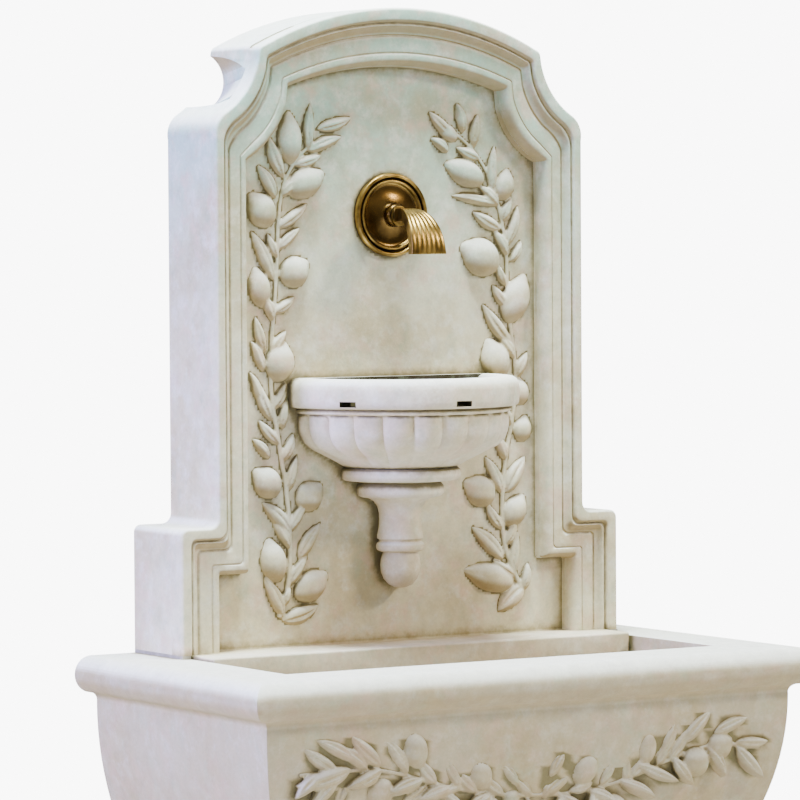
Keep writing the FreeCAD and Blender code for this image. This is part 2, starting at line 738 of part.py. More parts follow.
bowl_body_level = bowl_level - bowl_rim
bowl_body_rise = bowl_body_level - bowl_low
rings = []
for up, out in BOWL_LEVELS:
    reach = float(bowl_body_low) + out * float(bowl_body_top - bowl_body_low)
    valley = float(flute_depth) * reach / float(bowl_body_top)
    rings.append(lobed_ring(reach, valley, float(bowl_low) + up * float(bowl_body_rise)))
flutes = doc.addObject("Part::Feature", "bowl_flutes")
flutes.Shape = Part.makeLoft(rings, True, False)
rim_in = bowl_radius - bowl_rim / 2
bowl_rim_ring = turned("bowl_rim_ring", [
    (0, bowl_body_level), (rim_in - bowl_rim / 4, bowl_body_level), (rim_in, bowl_body_level),
    (rim_in, bowl_level, bowl_radius, bowl_level - bowl_rim / 2), (0, bowl_level)], axis_y)
round_bowl = fuse("bowl_round", flutes, bowl_rim_ring)
behind_bowl = box("behind_bowl", (-bowl_radius * 2, bowl_radius * 2), (field, axis_y + bowl_radius * 2),
                  (bowl_low - PAST, bowl_level + PAST))
half_bowl = cut("bowl_cast", round_bowl, behind_bowl)
basin_bottom = bowl_low + bowl_floor
bowl_hollow = turned("bowl_hollow", [
    (0, basin_bottom), (bowl_inside / 2, basin_bottom),
    (bowl_inside, bowl_body_level, bowl_inside * 0.9, basin_bottom + (bowl_body_level - basin_bottom) * 0.4),
    (bowl_inside, bowl_level + PAST), (0, bowl_level + PAST)], axis_y)
bowl_back = box("bowl_back", (-bowl_radius * 2, bowl_radius * 2),
                (field - bowl_wall, axis_y + bowl_radius * 2), (bowl_low, bowl_level + PAST * 2))
bowl_cavity = cut("bowl_cavity", bowl_hollow, bowl_back)
slot_level = bowl_body_level + slot_rise / 2


def overflow_slot(number, angle):
    """A narrow slot through the foot of the rim, at an angle from the front."""
    half = slot_width / 2
    item = doc.addObject("Part::Box", f"overflow_slot_{number}")
    reach = bowl_radius - bowl_inside + PAST * 4
    bind(item, Length=slot_width, Width=reach, Height=slot_rise)
    turn = Rotation(Vector(0, 0, 1), angle)
    corner = turn.multVec(Vector(-float(half), -float(bowl_radius) - PAST, 0))
    item.Placement = Placement(corner + Vector(0, float(axis_y), float(slot_level)), turn)
    return item


slots = [overflow_slot(n, share * float(slot_angle)) for n, share in enumerate((-1, 0, 1), 1)]
keep("bowl", cut("bowl", half_bowl, bowl_cavity, *slots, *dowel_holes("bowl")[:2]))

# Corbel under the bowl: turned disc, cap, waisted shaft, ring and drop, cut flat by the field
disc_low = bowl_low - disc_rise
cap_low = disc_low - cap_rise
shaft_low = cap_low - shaft_rise
ring_low = shaft_low - ring_rise
drop_low = ring_low - drop_rise
corbel_round = turned("corbel_round", [
    (0, drop_low),
    (drop_radius, drop_low + drop_rise / 2, drop_radius * ARC_UP, drop_low + drop_rise * ARC_IN / 2),
    (drop_radius * 0.8, ring_low, drop_radius * 0.95, drop_low + drop_rise * 0.8),
    (ring_radius, ring_low), (ring_radius, shaft_low), (shaft_radius * 1.13, shaft_low),
    (shaft_radius * 1.29, cap_low, shaft_radius, shaft_low + shaft_rise * 0.42),
    (cap_radius, cap_low + cap_rise * 0.5, cap_radius * 0.88, cap_low + cap_rise * 0.12),
    (cap_radius, disc_low), (disc_radius, disc_low), (disc_radius, bowl_low), (0, bowl_low)], axis_y)
behind_field = box("behind_field", (-disc_radius * 2, disc_radius * 2), (field, axis_y + disc_radius * 2),
                   (drop_low, bowl_low + PAST))
keep("bowl_corbel", cut("bowl_corbel", corbel_round, behind_field, *dowel_holes("corbel")[2:]))

for name, spots in (("bowl_dowels", dowel_spots[:2]), ("corbel_dowels", dowel_spots[2:])):
    dowels = [rod(f"{name}_{n}", dowel_radius, (dowel_hold - seat_gap) * 2, x, field - dowel_hold + seat_gap,
                  z, "y") for n, (x, z) in enumerate(spots, 1)]
    keep(name, group(name, dowels))

# Spout: gasket, turned rosette, ridged lip, threaded tail, washer and nut
FORWARD = Rotation(Vector(1, 0, 0), 90)


def ring_body(name, radius, bore, thickness, y, x=0, z=0, turn=FORWARD):
    """A flat ring that lies on an upright plane and is as thick as given towards the front."""
    body = new_body(name)
    sketch = circle(body, name + "_outer", radius)
    add_circle(sketch, bore)
    pad(body, name + "_ring", sketch, thickness)
    keep(name, body)
    return place(body, x, y, z, turn)


tail_clear = tail_radius + seat_gap
ring_body("rosette_gasket", rosette_radius * 0.85, tail_clear, gasket_thickness, field, 0, spout_level)
rosette = new_body("spout_rosette")
bead = rosette_radius * 0.09
face_low = rosette_rise * 0.3
boss = tail_radius * 1.75
rosette_path = [
    (tail_clear, 0), (rosette_radius, 0), (rosette_radius, face_low),
    (rosette_radius - bead, face_low, rosette_radius - bead / 2, face_low + bead / 2),
    (rosette_radius - bead * 1.5, face_low),
    (rosette_radius - bead * 2.5, face_low, rosette_radius - bead * 2, face_low + bead / 2),
    (boss, rosette_rise, (rosette_radius - bead * 2.5 + boss) / 2, rosette_rise * 0.55),
    (tail_clear, rosette_rise)]
revolution(rosette, "rosette_turning", profile("rosette_outline", "front", 0, rosette_path, rosette))
rosette_y = field - gasket_thickness
place(rosette, 0, rosette_y, spout_level, FORWARD)
keep("spout_rosette", rosette)

tail_end = ahead(hollow_depth) + washer_radius
tail_front = rosette_y - rosette_rise - tail_radius
tail_length = tail_end - tail_front
tail_tube = rod("tail_tube", tail_radius, tail_length, 0, tail_front, spout_level, "y")
tail_water = rod("tail_water", tail_bore, tail_length + PAST * 2, 0, tail_front - PAST, spout_level, "y")
keep("spout_tail", cut("spout_tail", tail_tube, tail_water))
inner_face = ahead(hollow_depth)
ring_body("tail_washer", washer_radius, tail_clear, gasket_thickness, inner_face + gasket_thickness, 0,
          spout_level)
backnut = new_body("tail_backnut")
pad(backnut, "nut_block", hexagon(backnut, "nut_outline", nut_width), nut_thickness)
pocket(backnut, "nut_bore", circle(backnut, "nut_hole", tail_radius + fit_gap), nut_thickness * 2, True)
place(backnut, 0, inner_face + gasket_thickness + nut_thickness, spout_level, FORWARD)
keep("tail_backnut", backnut)

LIP_STATIONS = ((0.12, 0.0, 0.0, 0), (0.38, 0.12, 0.03, 8), (0.66, 0.5, -0.06, 30), (0.9, 0.82, -0.42, 62),
                (1.0, 1.0, -1.0, 90))
RIDGES = 7


def lip_section(station, shrink, past=0.0):
    """A cross-section of the spout's lip: flat below, and ridged above on the outside only."""
    forward, spread, rise, tilt = station
    width = float(spout_root_width + (spout_mouth_width - spout_root_width) * spread) - 2 * shrink
    thick = float(spout_root_thickness + (spout_mouth_thickness - spout_root_thickness) * spread) - 2 * shrink
    angle = math.radians(tilt)
    along = Vector(0, -math.cos(angle), -math.sin(angle))
    above = Vector(0, -math.sin(angle), math.cos(angle))
    middle = Vector(0, float(rosette_y - rosette_rise) - forward * float(spout_reach - rosette_rise),
                    float(spout_level) + rise * float(spout_drop)) + along * past
    def spot(across, up):
        return middle + Vector(across * width / 2, 0, 0) + above * (up * thick / 2)
    edges = [Part.makeLine(spot(-1, 1), spot(-1, -1)), Part.makeLine(spot(-1, -1), spot(1, -1)),
             Part.makeLine(spot(1, -1), spot(1, 1))]
    if shrink:
        return Part.Wire(edges + [Part.makeLine(spot(1, 1), spot(-1, 1))])
    ridge = above * (float(ridge_height) * width / float(spout_mouth_width))
    for number in range(RIDGES):
        start, end = 1 - 2 * number / RIDGES, 1 - 2 * (number + 1) / RIDGES
        shoulders = [spot(start + (end - start) * share, 1) + ridge for share in (0.25, 0.75)]
        points = [spot(start, 1)] + shoulders + [spot(end, 1)]
        edges += [Part.makeLine(a, b) for a, b in zip(points, points[1:])]
    return Part.Wire(edges)


lip_outer = Part.makeLoft([lip_section(s, 0) for s in LIP_STATIONS], True, False)
lip_wall = float(spout_mouth_thickness) * 0.22
lip_inner = Part.makeLoft([lip_section(s, lip_wall, 0.5 if s is LIP_STATIONS[-1] else 0)
                           for s in LIP_STATIONS], True, False)
lip = doc.addObject("Part::Feature", "spout_lip_shell")
lip.Shape = lip_outer.cut(lip_inner)
rosette_face = rosette_y - rosette_rise
boss_length = tail_radius * 1.6
lip_boss = rod("lip_boss", tail_radius * 1.3, boss_length, 0, rosette_face - boss_length, spout_level, "y")
socket_depth = tail_radius + fit_gap
lip_socket = rod("lip_socket", socket_depth, socket_depth, 0, rosette_face - socket_depth, spout_level, "y")
lip_water = rod("lip_water", spout_root_thickness / 4, spout_reach / 3, 0, rosette_face - spout_reach / 3,
                spout_level, "y")
keep("spout_lip", cut("spout_lip", fuse("spout_lip_cast", lip, lip_boss), lip_socket, lip_water))

# Elbow behind the panel, with a barb that the riser hose pushes over
elbow_mouth = tail_end - hose_radius
elbow_across = rod("elbow_across", elbow_radius, hose_y - elbow_mouth, 0, elbow_mouth, spout_level, "y")
elbow_knee = doc.addObject("Part::Sphere", "elbow_knee")
bind(elbow_knee, Radius=elbow_radius)
place(elbow_knee, 0, hose_y, spout_level)
collar_low = spout_level - elbow_radius * 1.5
elbow_down = rod("elbow_down", elbow_radius, elbow_radius * 1.5, 0, hose_y, collar_low)
barb_radius = hose_bore - fit_gap
elbow_barb = rod("elbow_barb", barb_radius, barb_length, 0, hose_y, collar_low - barb_length)
elbow_thread = rod("elbow_thread", tail_radius + fit_gap, hose_radius + fit_gap, 0, elbow_mouth - fit_gap,
                   spout_level, "y")
water_radius = hose_bore / 1.6
elbow_water = [
    rod("elbow_water_across", water_radius, hose_y - elbow_mouth, 0, elbow_mouth, spout_level, "y"),
    rod("elbow_water_down", water_radius, elbow_radius * 1.5 + barb_length + PAST, 0, hose_y,
        collar_low - barb_length - PAST)]
keep("hose_elbow", cut("hose_elbow", fuse("elbow_cast", elbow_across, elbow_knee, elbow_down, elbow_barb),
                       elbow_thread, *elbow_water))

# Pump on the basin's floor behind the ledge block's front wall
pump_low = floor_level + pump_foot_rise
pump_high = pump_low + pump_rise
pump_face = pump_y - pump_depth / 2
outlet_high = pump_high + barb_length * 1.5
axle_level = pump_low + pump_rise * 0.46
pump_box = box("pump_block", (-pump_width / 2, pump_width / 2), (pump_face, pump_face + pump_depth),
               (pump_low, pump_high))
pump_soft = rounded("pump_soft", pump_box, pump_corner,
                    lambda edge: edge.BoundBox.ZLength > 1 or edge.BoundBox.ZMin > float(pump_high) - 1)
pump_chamber_bore = rod("pump_chamber_bore", chamber_radius, chamber_depth + PAST, 0, pump_face - PAST,
                        axle_level, "y")
rotor_well = rod("rotor_well", rotor_radius + run_gap, rotor_length, 0, pump_face + chamber_depth - fit_gap,
                 axle_level, "y")
pin_hole = rod("pin_hole", pin_radius + fit_gap, rotor_length + PAST, 0, pump_face + chamber_depth,
               axle_level, "y")
nozzle_y = pump_y - pump_depth / 4
outlet_hole = rod("outlet_hole", hose_bore, pump_rise, 0, nozzle_y, axle_level + chamber_radius / 2)
knob_x = pump_width / 2 - knob_radius * 1.6
knob_level = pump_high - knob_radius * 2.4
spindle_radius = pin_radius * 2
knob_hole = rod("knob_hole", spindle_radius + fit_gap, knob_rise * 2, knob_x, pump_face - PAST, knob_level,
                "y")
gland_x = -pump_width / 4
inlet_gland_hole = rod("inlet_gland_hole", gland_radius + fit_gap, PAST * 2, gland_x,
                       pump_face + pump_depth - PAST * 2, pump_high - gland_radius * 3, "y")
keep("pump_body", cut("pump_body", pump_soft, pump_chamber_bore, rotor_well, pin_hole, outlet_hole, knob_hole,
                      inlet_gland_hole))

nozzle_flange = rod("nozzle_flange", hose_radius * 1.3, barb_length / 2, 0, nozzle_y, pump_high)
nozzle_barb = rod("nozzle_barb", barb_radius, barb_length, 0, nozzle_y, pump_high + barb_length / 2)
nozzle_spigot = rod("nozzle_spigot", hose_bore - fit_gap, PAST, 0, nozzle_y, pump_high - PAST)
nozzle_water = rod("nozzle_water", water_radius, barb_length * 2 + PAST, 0, nozzle_y, pump_high - PAST)
keep("pump_outlet", cut("pump_outlet", fuse("nozzle_moulding", nozzle_flange, nozzle_barb, nozzle_spigot),
                        nozzle_water))

impeller = new_body("impeller")
rotor_back = chamber_depth + rotor_length - run_gap * 2
rotor_ring = circle(impeller, "rotor_outer", rotor_radius)
pad(impeller, "rotor", rotor_ring, rotor_back - run_gap * 2)
blade = profile("blade_outline", "top", rotor_back - run_gap * 2 - blade_length, [
    (0, -blade_thickness / 2), (blade_radius, -blade_thickness / 2), (blade_radius, blade_thickness / 2),
    (0, blade_thickness / 2)], impeller)
blade_pad = pad(impeller, "blade", blade, blade_length)
impeller.recompute(True)
blades = impeller.newObject("PartDesign::PolarPattern", "blades")
blades.Originals = [blade_pad]
blades.Axis = ([f for f in impeller.Origin.OriginFeatures if f.Role == "Z_Axis"][0], [""])
blades.Angle = 360
blades.Occurrences = 6
impeller.Tip = blades
impeller.recompute(True)
pocket(impeller, "pin_bore", circle(impeller, "pin_bore_outline", pin_radius + fit_gap), rotor_back, True)
place(impeller, 0, pump_face + rotor_back, axle_level, FORWARD)
keep("impeller", impeller)

pin_back = pump_face + chamber_depth + rotor_length + PAST
grille_face = pump_face - grille_thickness
keep("impeller_pin", rod("impeller_pin", pin_radius, pin_back - pump_face - run_gap, 0,
                         pump_face + run_gap / 2, axle_level, "y"))

grille_low, grille_high = pump_low + PAST, knob_level - knob_radius * 1.4
grille_plate = box("grille_plate", (-pump_width / 2 + pump_corner, pump_width / 2 - pump_corner),
                   (grille_face, pump_face), (grille_low, grille_high))
grille_slots = [
    box(f"grille_slot_{n}", (grille_slot * (2 * n - 0.5), grille_slot * (2 * n + 0.5)),
        (grille_face - PAST, pump_face + PAST), (grille_low + PAST, grille_high - PAST))
    for n in range(-4, 5) if n != 0
]
keep("pump_grille", cut("pump_grille", grille_plate, *grille_slots))

knob = new_body("flow_knob")
pad(knob, "knob_disc", circle(knob, "knob_outline", knob_radius), knob_rise)
pad(knob, "knob_spindle", circle(knob, "spindle_outline", spindle_radius), knob_rise, True)
pad(knob, "knob_pointer", profile("pointer_outline", "top", knob_rise - fit_gap, [
    (-pin_radius, -knob_radius * 0.8), (pin_radius, -knob_radius * 0.8), (pin_radius, knob_radius * 0.8),
    (-pin_radius, knob_radius * 0.8)], knob), pin_radius * 2)
place(knob, knob_x, pump_face - seat_gap, knob_level, FORWARD)
keep("flow_knob", knob)

foot_inset = pump_foot_radius * 1.5
foot_x, foot_y = pump_width / 2 - foot_inset, pump_depth / 2 - foot_inset
keep("suction_feet", group("suction_feet", [
    rod(f"suction_foot_{n}", pump_foot_radius, pump_foot_rise, foot_x * x, pump_y + foot_y * y, floor_level)
    for n, (x, y) in enumerate([(-1, -1), (1, -1), (-1, 1), (1, 1)], 1)]))

ring_body("pump_gland", gland_radius, pin_radius, PAST * 3, pump_face + pump_depth + PAST, gland_x,
          pump_high - gland_radius * 3)

# Riser hose: down the panel's hollow, through the chase, then forward over the pump
hose_top = collar_low - seat_gap
hose_turn_high = bearer_level - hose_bend
hose_turn_low = outlet_high + hose_bend
hose_end = pump_high + barb_length / 2 + seat_gap


def rounded_route(points, radius):
    """Straight runs through the points, joined by arcs of one radius."""
    edges, start = [], points[0]
    for before, corner, after in zip(points, points[1:], points[2:]):
        back = (before - corner).normalize()
        onward = (after - corner).normalize()
        half = back.getAngle(onward) / 2
        reach = radius / math.tan(half)
        centre_line = (back + onward).normalize()
        first, last = corner + back * reach, corner + onward * reach
        middle = corner + centre_line * (radius / math.sin(half) - radius)
        edges += [Part.makeLine(start, first), Part.Arc(first, middle, last).toShape()]
        start = last
    return Part.Wire(edges + [Part.makeLine(start, points[-1])])


def along_route(name, route, radius, bore):
    """A tube along a route that starts straight down."""
    start = route.Edges[0].firstVertex().Point
    rings = [Part.Wire(Part.makeCircle(float(r), start, Vector(0, 0, -1))) for r in (radius, bore)]
    outer, inner = [route.makePipeShell([ring], True, False) for ring in rings]
    item = doc.addObject("Part::Feature", name)
    item.Shape = outer.cut(inner)
    return item


hose_points = [Vector(0, float(y), float(z)) for y, z in (
    (hose_y, hose_top), (hose_y, hose_turn_high), (nozzle_y, hose_turn_low), (nozzle_y, hose_end))]
hose_route = rounded_route(hose_points, float(hose_bend))
keep("riser_hose", along_route("riser_hose", hose_route, hose_radius, hose_bore))

# Worm-drive clips round the two ends of the hose
clip_rings = []
for n, (y, z) in enumerate(((hose_y, hose_top - clip_rise * 1.6), (nozzle_y, hose_end + clip_rise * 0.6)), 1):
    band = rod(f"clip_band_{n}", hose_radius + clip_wall, clip_rise, 0, y, z)
    worm = box(f"clip_worm_{n}", (-clip_rise * 0.8, clip_rise * 0.8), (y - hose_radius - clip_rise, y),
               (z, z + clip_rise))
    clear = rod(f"clip_clear_{n}", hose_radius + fit_gap, clip_rise * 3, 0, y, z - clip_rise)
    clip_rings.append(cut(f"clip_{n}", fuse(f"clip_whole_{n}", band, worm), clear))
keep("hose_clips", group("hose_clips", clip_rings))

# Saddles that hold the hose off the back of the field, with two screws each
saddle_blocks = []
for n, z in enumerate(saddle_levels, 1):
    block = box(f"saddle_block_{n}", (-saddle_width / 2, saddle_width / 2),
                (inner_face, inner_face + saddle_rise / 2), (z - saddle_rise / 2, z + saddle_rise / 2))
    arm = box(f"saddle_arm_{n}", (-hose_radius * 1.6, hose_radius * 1.6),
              (inner_face, hose_y + hose_radius * 0.6), (z - saddle_rise / 2, z + saddle_rise / 2))
    tunnel = rod(f"saddle_tunnel_{n}", hose_radius + seat_gap, saddle_rise * 2, 0, hose_y, z - saddle_rise)
    bores = [rod(f"saddle_bore_{n}_{k}", screw_radius + fit_gap, saddle_rise * 2, x, inner_face - PAST, z,
                 "y") for k, x in enumerate(screw_x, 1)]
    saddle_blocks.append(cut(f"saddle_{n}", fuse(f"saddle_whole_{n}", block, arm), tunnel, *bores))
keep("hose_saddles", group("hose_saddles", saddle_blocks))


def wood_screw(name, x, y, z):
    """A pan-head screw driven forwards from the back, its head on the plane at y."""
    length = screw_length - seat_gap * 2
    shank = rod(name + "_shank", screw_radius, length, x, y - length, z, "y")
    head = rod(name + "_head", screw_radius * 1.9, screw_radius, x, y, z, "y")
    return fuse(name, shank, head)


screw_seat = inner_face + saddle_rise / 2
keep("saddle_screws", group("saddle_screws", [
    wood_screw(f"saddle_screw_{n}", x, screw_seat, z) for n, (x, z) in enumerate(saddle_screws, 1)]))

# Cable gland through the basin's rear wall
gland_tube = rod("gland_tube", gland_radius, rear_wall, basin_gland_x, ahead(rear_wall), basin_gland_level,
                 "y")
gland_lip = rod("gland_lip", gland_radius * 1.6, gland_lip_thickness, basin_gland_x,
                ahead(rear_wall + gland_lip_thickness), basin_gland_level, "y")
gland_way = rod("gland_way", pin_radius * 2, rear_wall * 2, basin_gland_x, ahead(rear_wall * 1.5),
                basin_gland_level, "y")
keep("cable_gland", cut("cable_gland", fuse("gland_moulding", gland_tube, gland_lip), gland_way))

# Drain through the basin's floor
drain_washer_low = base_recess - drain_washer_rise
drain_nut_low = drain_washer_low - drain_nut_rise
drain_tube_low = drain_nut_low - PAST
drain_tube = rod("drain_tube", drain_radius, floor_level - drain_tube_low, drain_offset, drain_y,
                 drain_tube_low)
drain_rim = rod("drain_rim", drain_flange, drain_flange_rise, drain_offset, drain_y, floor_level)
drain_way = rod("drain_way", drain_bore, floor_level * 2, drain_offset, drain_y, 0)
keep("drain_fitting", cut("drain_fitting", fuse("drain_turning", drain_tube, drain_rim), drain_way))

UPWARD = Rotation()
ring_body("drain_washer", drain_nut_width * 0.56, drain_radius + fit_gap, drain_washer_rise, drain_y,
          drain_offset, drain_washer_low, UPWARD)
drain_nut = new_body("drain_backnut")
pad(drain_nut, "drain_nut_block", hexagon(drain_nut, "drain_nut_outline", drain_nut_width), drain_nut_rise)
pocket(drain_nut, "drain_nut_bore", circle(drain_nut, "drain_nut_hole", drain_radius + fit_gap),
       drain_nut_rise * 2, True)
place(drain_nut, drain_offset, drain_y, drain_nut_low, UPWARD)
keep("drain_backnut", drain_nut)

drain_plug = new_body("drain_plug")
plug_taper = drain_bore - fit_gap
cap_edge = drain_bore + plug_cap / 2
revolution(drain_plug, "plug_turning", profile("plug_outline", "front", 0, [
    (0, -plug_rise), (plug_taper * 0.9, -plug_rise), (plug_taper, 0), (cap_edge, 0), (cap_edge, plug_cap),
    (plug_knob * 0.4, plug_cap), (plug_knob * 0.4, plug_knob), (plug_knob, plug_knob * 1.3),
    (plug_knob, plug_knob * 2), (plug_knob * 0.7, plug_knob * 2.3), (0, plug_knob * 2.3)], drain_plug))
place(drain_plug, drain_offset, drain_y, floor_level + drain_flange_rise, UPWARD)
keep("drain_plug", drain_plug)

# Hooked cleats: one screwed into the panel's back, one for the house wall
recess_face = ahead(cleat_recess)
hook_low = cleat_floor + cleat_lift


def cleat(name, steps):
    """A folded steel strip: its section, in distance from the wall and height, drawn out sideways."""
    section = profile(name + "_section", "side", 0, [(ahead(stand), z) for stand, z in steps])
    return extrude(name + "_strip", section, cleat_width / 2, cleat_width / 2)


lip_drop = cleat_rise * 0.55
panel_top = hook_low + cleat_rise
lip_near = cleat_sheet + seat_gap
lip_far = lip_near + cleat_sheet
keeper_near = lip_far + seat_gap
keeper_far = keeper_near + cleat_sheet
plate_stand = cleat_recess - cleat_sheet
panel_strip = cleat("panel_cleat", [
    (cleat_recess, hook_low), (plate_stand, hook_low), (plate_stand, panel_top - cleat_sheet),
    (lip_far, panel_top - cleat_sheet), (lip_far, panel_top - lip_drop), (lip_near, panel_top - lip_drop),
    (lip_near, panel_top), (cleat_recess, panel_top)])
plate_holes = [rod(f"plate_hole_{n}", screw_radius + fit_gap, cleat_recess, x, ahead(cleat_recess + PAST),
                   cleat_screw_level, "y") for n, x in enumerate(cleat_screw_x, 1)]
keep("panel_cleat", cut("panel_cleat", panel_strip, *plate_holes))
keep("cleat_screws", group("cleat_screws", [
    wood_screw(f"cleat_screw_{n}", x, ahead(plate_stand), cleat_screw_level)
    for n, x in enumerate(cleat_screw_x, 1)]))

keeper_floor = panel_top - lip_drop - cleat_sheet - seat_gap * 2
keeper_top = panel_top - cleat_sheet - seat_gap * 2
wall_low = keeper_floor - cleat_rise * 0.45
wall_strip = cleat("wall_cleat", [
    (0, wall_low), (cleat_sheet, wall_low), (cleat_sheet, keeper_floor), (keeper_far, keeper_floor),
    (keeper_far, keeper_top), (keeper_near, keeper_top), (keeper_near, keeper_floor + cleat_sheet),
    (0, keeper_floor + cleat_sheet)])
anchor_level = wall_low + cleat_rise * 0.22
anchor_holes = [rod(f"anchor_hole_{n}", anchor_radius, cleat_sheet * 3, x, ahead(cleat_sheet * 2),
                    anchor_level, "y") for n, x in enumerate((-anchor_pitch / 2, anchor_pitch / 2), 1)]
keep("wall_cleat", cut("wall_cleat", wall_strip, *anchor_holes))

doc.recompute()
faults = [item.Label for item in doc.Objects if {"Invalid", "Error"} & set(item.State)]
faults += [name for name, item in parts.items() if item.Shape.isNull() or not item.Shape.isValid()]
if faults:
    raise RuntimeError("not built: " + ", ".join(faults))
for name, item in parts.items():
    item.Shape.exportStep(f"parts/{name}.step")
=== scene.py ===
"""Looks for the garden wall fountain: soft light on its cast stone, brass and pump pieces."""

import json
import math

import bpy
from mathutils import Matrix, Vector, noise
from mathutils.bvhtree import BVHTree


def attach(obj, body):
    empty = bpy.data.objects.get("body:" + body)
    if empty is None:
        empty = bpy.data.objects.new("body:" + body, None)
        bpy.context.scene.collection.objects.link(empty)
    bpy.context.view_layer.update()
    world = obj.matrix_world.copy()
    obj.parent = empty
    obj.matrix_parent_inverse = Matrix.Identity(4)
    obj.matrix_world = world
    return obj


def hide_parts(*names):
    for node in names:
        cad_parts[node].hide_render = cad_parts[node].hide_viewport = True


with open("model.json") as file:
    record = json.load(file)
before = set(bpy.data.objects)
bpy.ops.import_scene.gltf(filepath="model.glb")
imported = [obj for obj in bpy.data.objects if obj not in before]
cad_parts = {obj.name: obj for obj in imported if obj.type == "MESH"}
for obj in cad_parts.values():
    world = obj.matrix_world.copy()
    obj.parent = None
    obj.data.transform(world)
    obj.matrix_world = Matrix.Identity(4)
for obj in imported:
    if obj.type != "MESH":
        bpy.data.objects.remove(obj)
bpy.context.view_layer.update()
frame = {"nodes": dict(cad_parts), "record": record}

# Camera
# It stands a little to the left of the fountain and just above its middle, on a long lens, and is
# rolled by a third of a degree as the hand-held picture was.
swing, tilt, roll = math.radians(32.09), math.radians(2.22), math.radians(0.35)
aim, distance = Vector((0.08029, 0.262, 0.7995)), 6.93917
back = Vector((-math.sin(swing) * math.cos(tilt), -math.cos(swing) * math.cos(tilt),
               math.sin(tilt)))
right = Vector((math.cos(swing), -math.sin(swing), 0))
up = back.cross(right)
across = right * math.cos(roll) - up * math.sin(roll)
upright = right * math.sin(roll) + up * math.cos(roll)
camera = bpy.data.objects.new("camera", bpy.data.cameras.new("camera"))
bpy.context.scene.collection.objects.link(camera)
camera.data.lens = 206.44
camera.data.sensor_width = 36
camera.data.clip_end = 100
stand = Matrix((across, upright, back)).transposed().to_4x4()
stand.translation = aim + back * distance
camera.matrix_world = stand
bpy.context.scene.camera = camera

# Studio
# White surroundings with a soft lamp high on the right, one overhead and a cool one on the left, as
# in a product picture, over a pale floor that runs out before the camera would see it.


def soft_lamp(name, place, target, size, power, colour):
    """A square soft box that faces a point."""
    lamp = bpy.data.lights.new(name, "AREA")
    lamp.size = size
    lamp.energy = power
    lamp.color = colour
    item = bpy.data.objects.new(name, lamp)
    bpy.context.scene.collection.objects.link(item)
    item.location = place
    item.rotation_mode = "QUATERNION"
    item.rotation_quaternion = (Vector(target) - Vector(place)).to_track_quat("-Z", "Y")


soft_lamp("key_lamp", (3.4, -3.6, 3.9), (0, 0, 0.8),
          size=0.8, power=210, colour=(1.0, 0.89, 0.68))
soft_lamp("top_lamp", (-0.25, -0.3, 4.4), (0, 0.05, 0.7),
          size=1.2, power=620, colour=(0.88, 1.0, 0.98))
soft_lamp("left_lamp", (-4.7, 0.45, 1.8), (0, 0.1, 0.7),
          size=1.3, power=640, colour=(0.45, 0.45, 1.0))
room = bpy.data.worlds.new("white_room")
bpy.context.scene.world = room
room.use_nodes = True
room_nodes, room_links = room.node_tree.nodes, room.node_tree.links
wall_light, backdrop = room_nodes["Background"], room_nodes.new("ShaderNodeBackground")
wall_light.inputs["Color"].default_value = (1.0, 0.95, 0.80, 1)
wall_light.inputs["Strength"].default_value = 0.36
backdrop.inputs["Color"].default_value = (1, 1, 1, 1)
backdrop.inputs["Strength"].default_value = 9.0
seen = room_nodes.new("ShaderNodeMixShader")
room_links.new(room_nodes.new("ShaderNodeLightPath").outputs["Is Camera Ray"], seen.inputs[0])
room_links.new(wall_light.outputs[0], seen.inputs[1])
room_links.new(backdrop.outputs[0], seen.inputs[2])
room_links.new(seen.outputs[0], room_nodes["World Output"].inputs["Surface"])
bpy.ops.object.select_all(action="DESELECT")
bpy.ops.mesh.primitive_circle_add(vertices=96, radius=2.4, fill_type="NGON", location=(0, -1.35, 0))
floor = bpy.context.active_object
floor.name = "floor"
bpy.ops.object.transform_apply(location=True, rotation=True, scale=True)
floor_paint = bpy.data.materials.new("pale_floor")
floor_paint.use_nodes = True
floor_finish = floor_paint.node_tree.nodes["Principled BSDF"]
floor_finish.inputs["Base Color"].default_value = (0.58, 0.57, 0.55, 1)
floor_finish.inputs["Roughness"].default_value = 0.8
floor.data.materials.append(floor_paint)

# Basin
# One heavy casting in cream cement stone: a plinth foot, a belly wall and a bullnosed rim, open
# above. It stands on the ground against the wall and carries everything else.


def node_tree(name):
    """A new material, its nodes, its links and its finish."""
    made = bpy.data.materials.new(name)
    made.use_nodes = True
    nodes, links = made.node_tree.nodes, made.node_tree.links
    return made, nodes, links, nodes["Principled BSDF"]


def cloud(nodes, links, place, size, detail, rough, drift=(0, 0, 0)):
    """Cloudy noise about as large as size in metres, read at the piece's own place."""
    shift = nodes.new("ShaderNodeMapping")
    shift.inputs["Location"].default_value = drift
    links.new(place, shift.inputs["Vector"])
    grain = nodes.new("ShaderNodeTexNoise")
    grain.inputs["Scale"].default_value = 1 / size
    grain.inputs["Detail"].default_value = detail
    grain.inputs["Roughness"].default_value = rough
    links.new(shift.outputs["Vector"], grain.inputs["Vector"])
    return grain.outputs["Fac"]


def ramp(nodes, links, source, low, high, curve="EASE"):
    """Turns a grey value into 0 to 1 between two limits."""
    step = nodes.new("ShaderNodeValToRGB")
    step.color_ramp.interpolation = curve
    step.color_ramp.elements[0].position = low
    step.color_ramp.elements[1].position = high
    links.new(source, step.inputs["Fac"])
    return step.outputs["Color"]


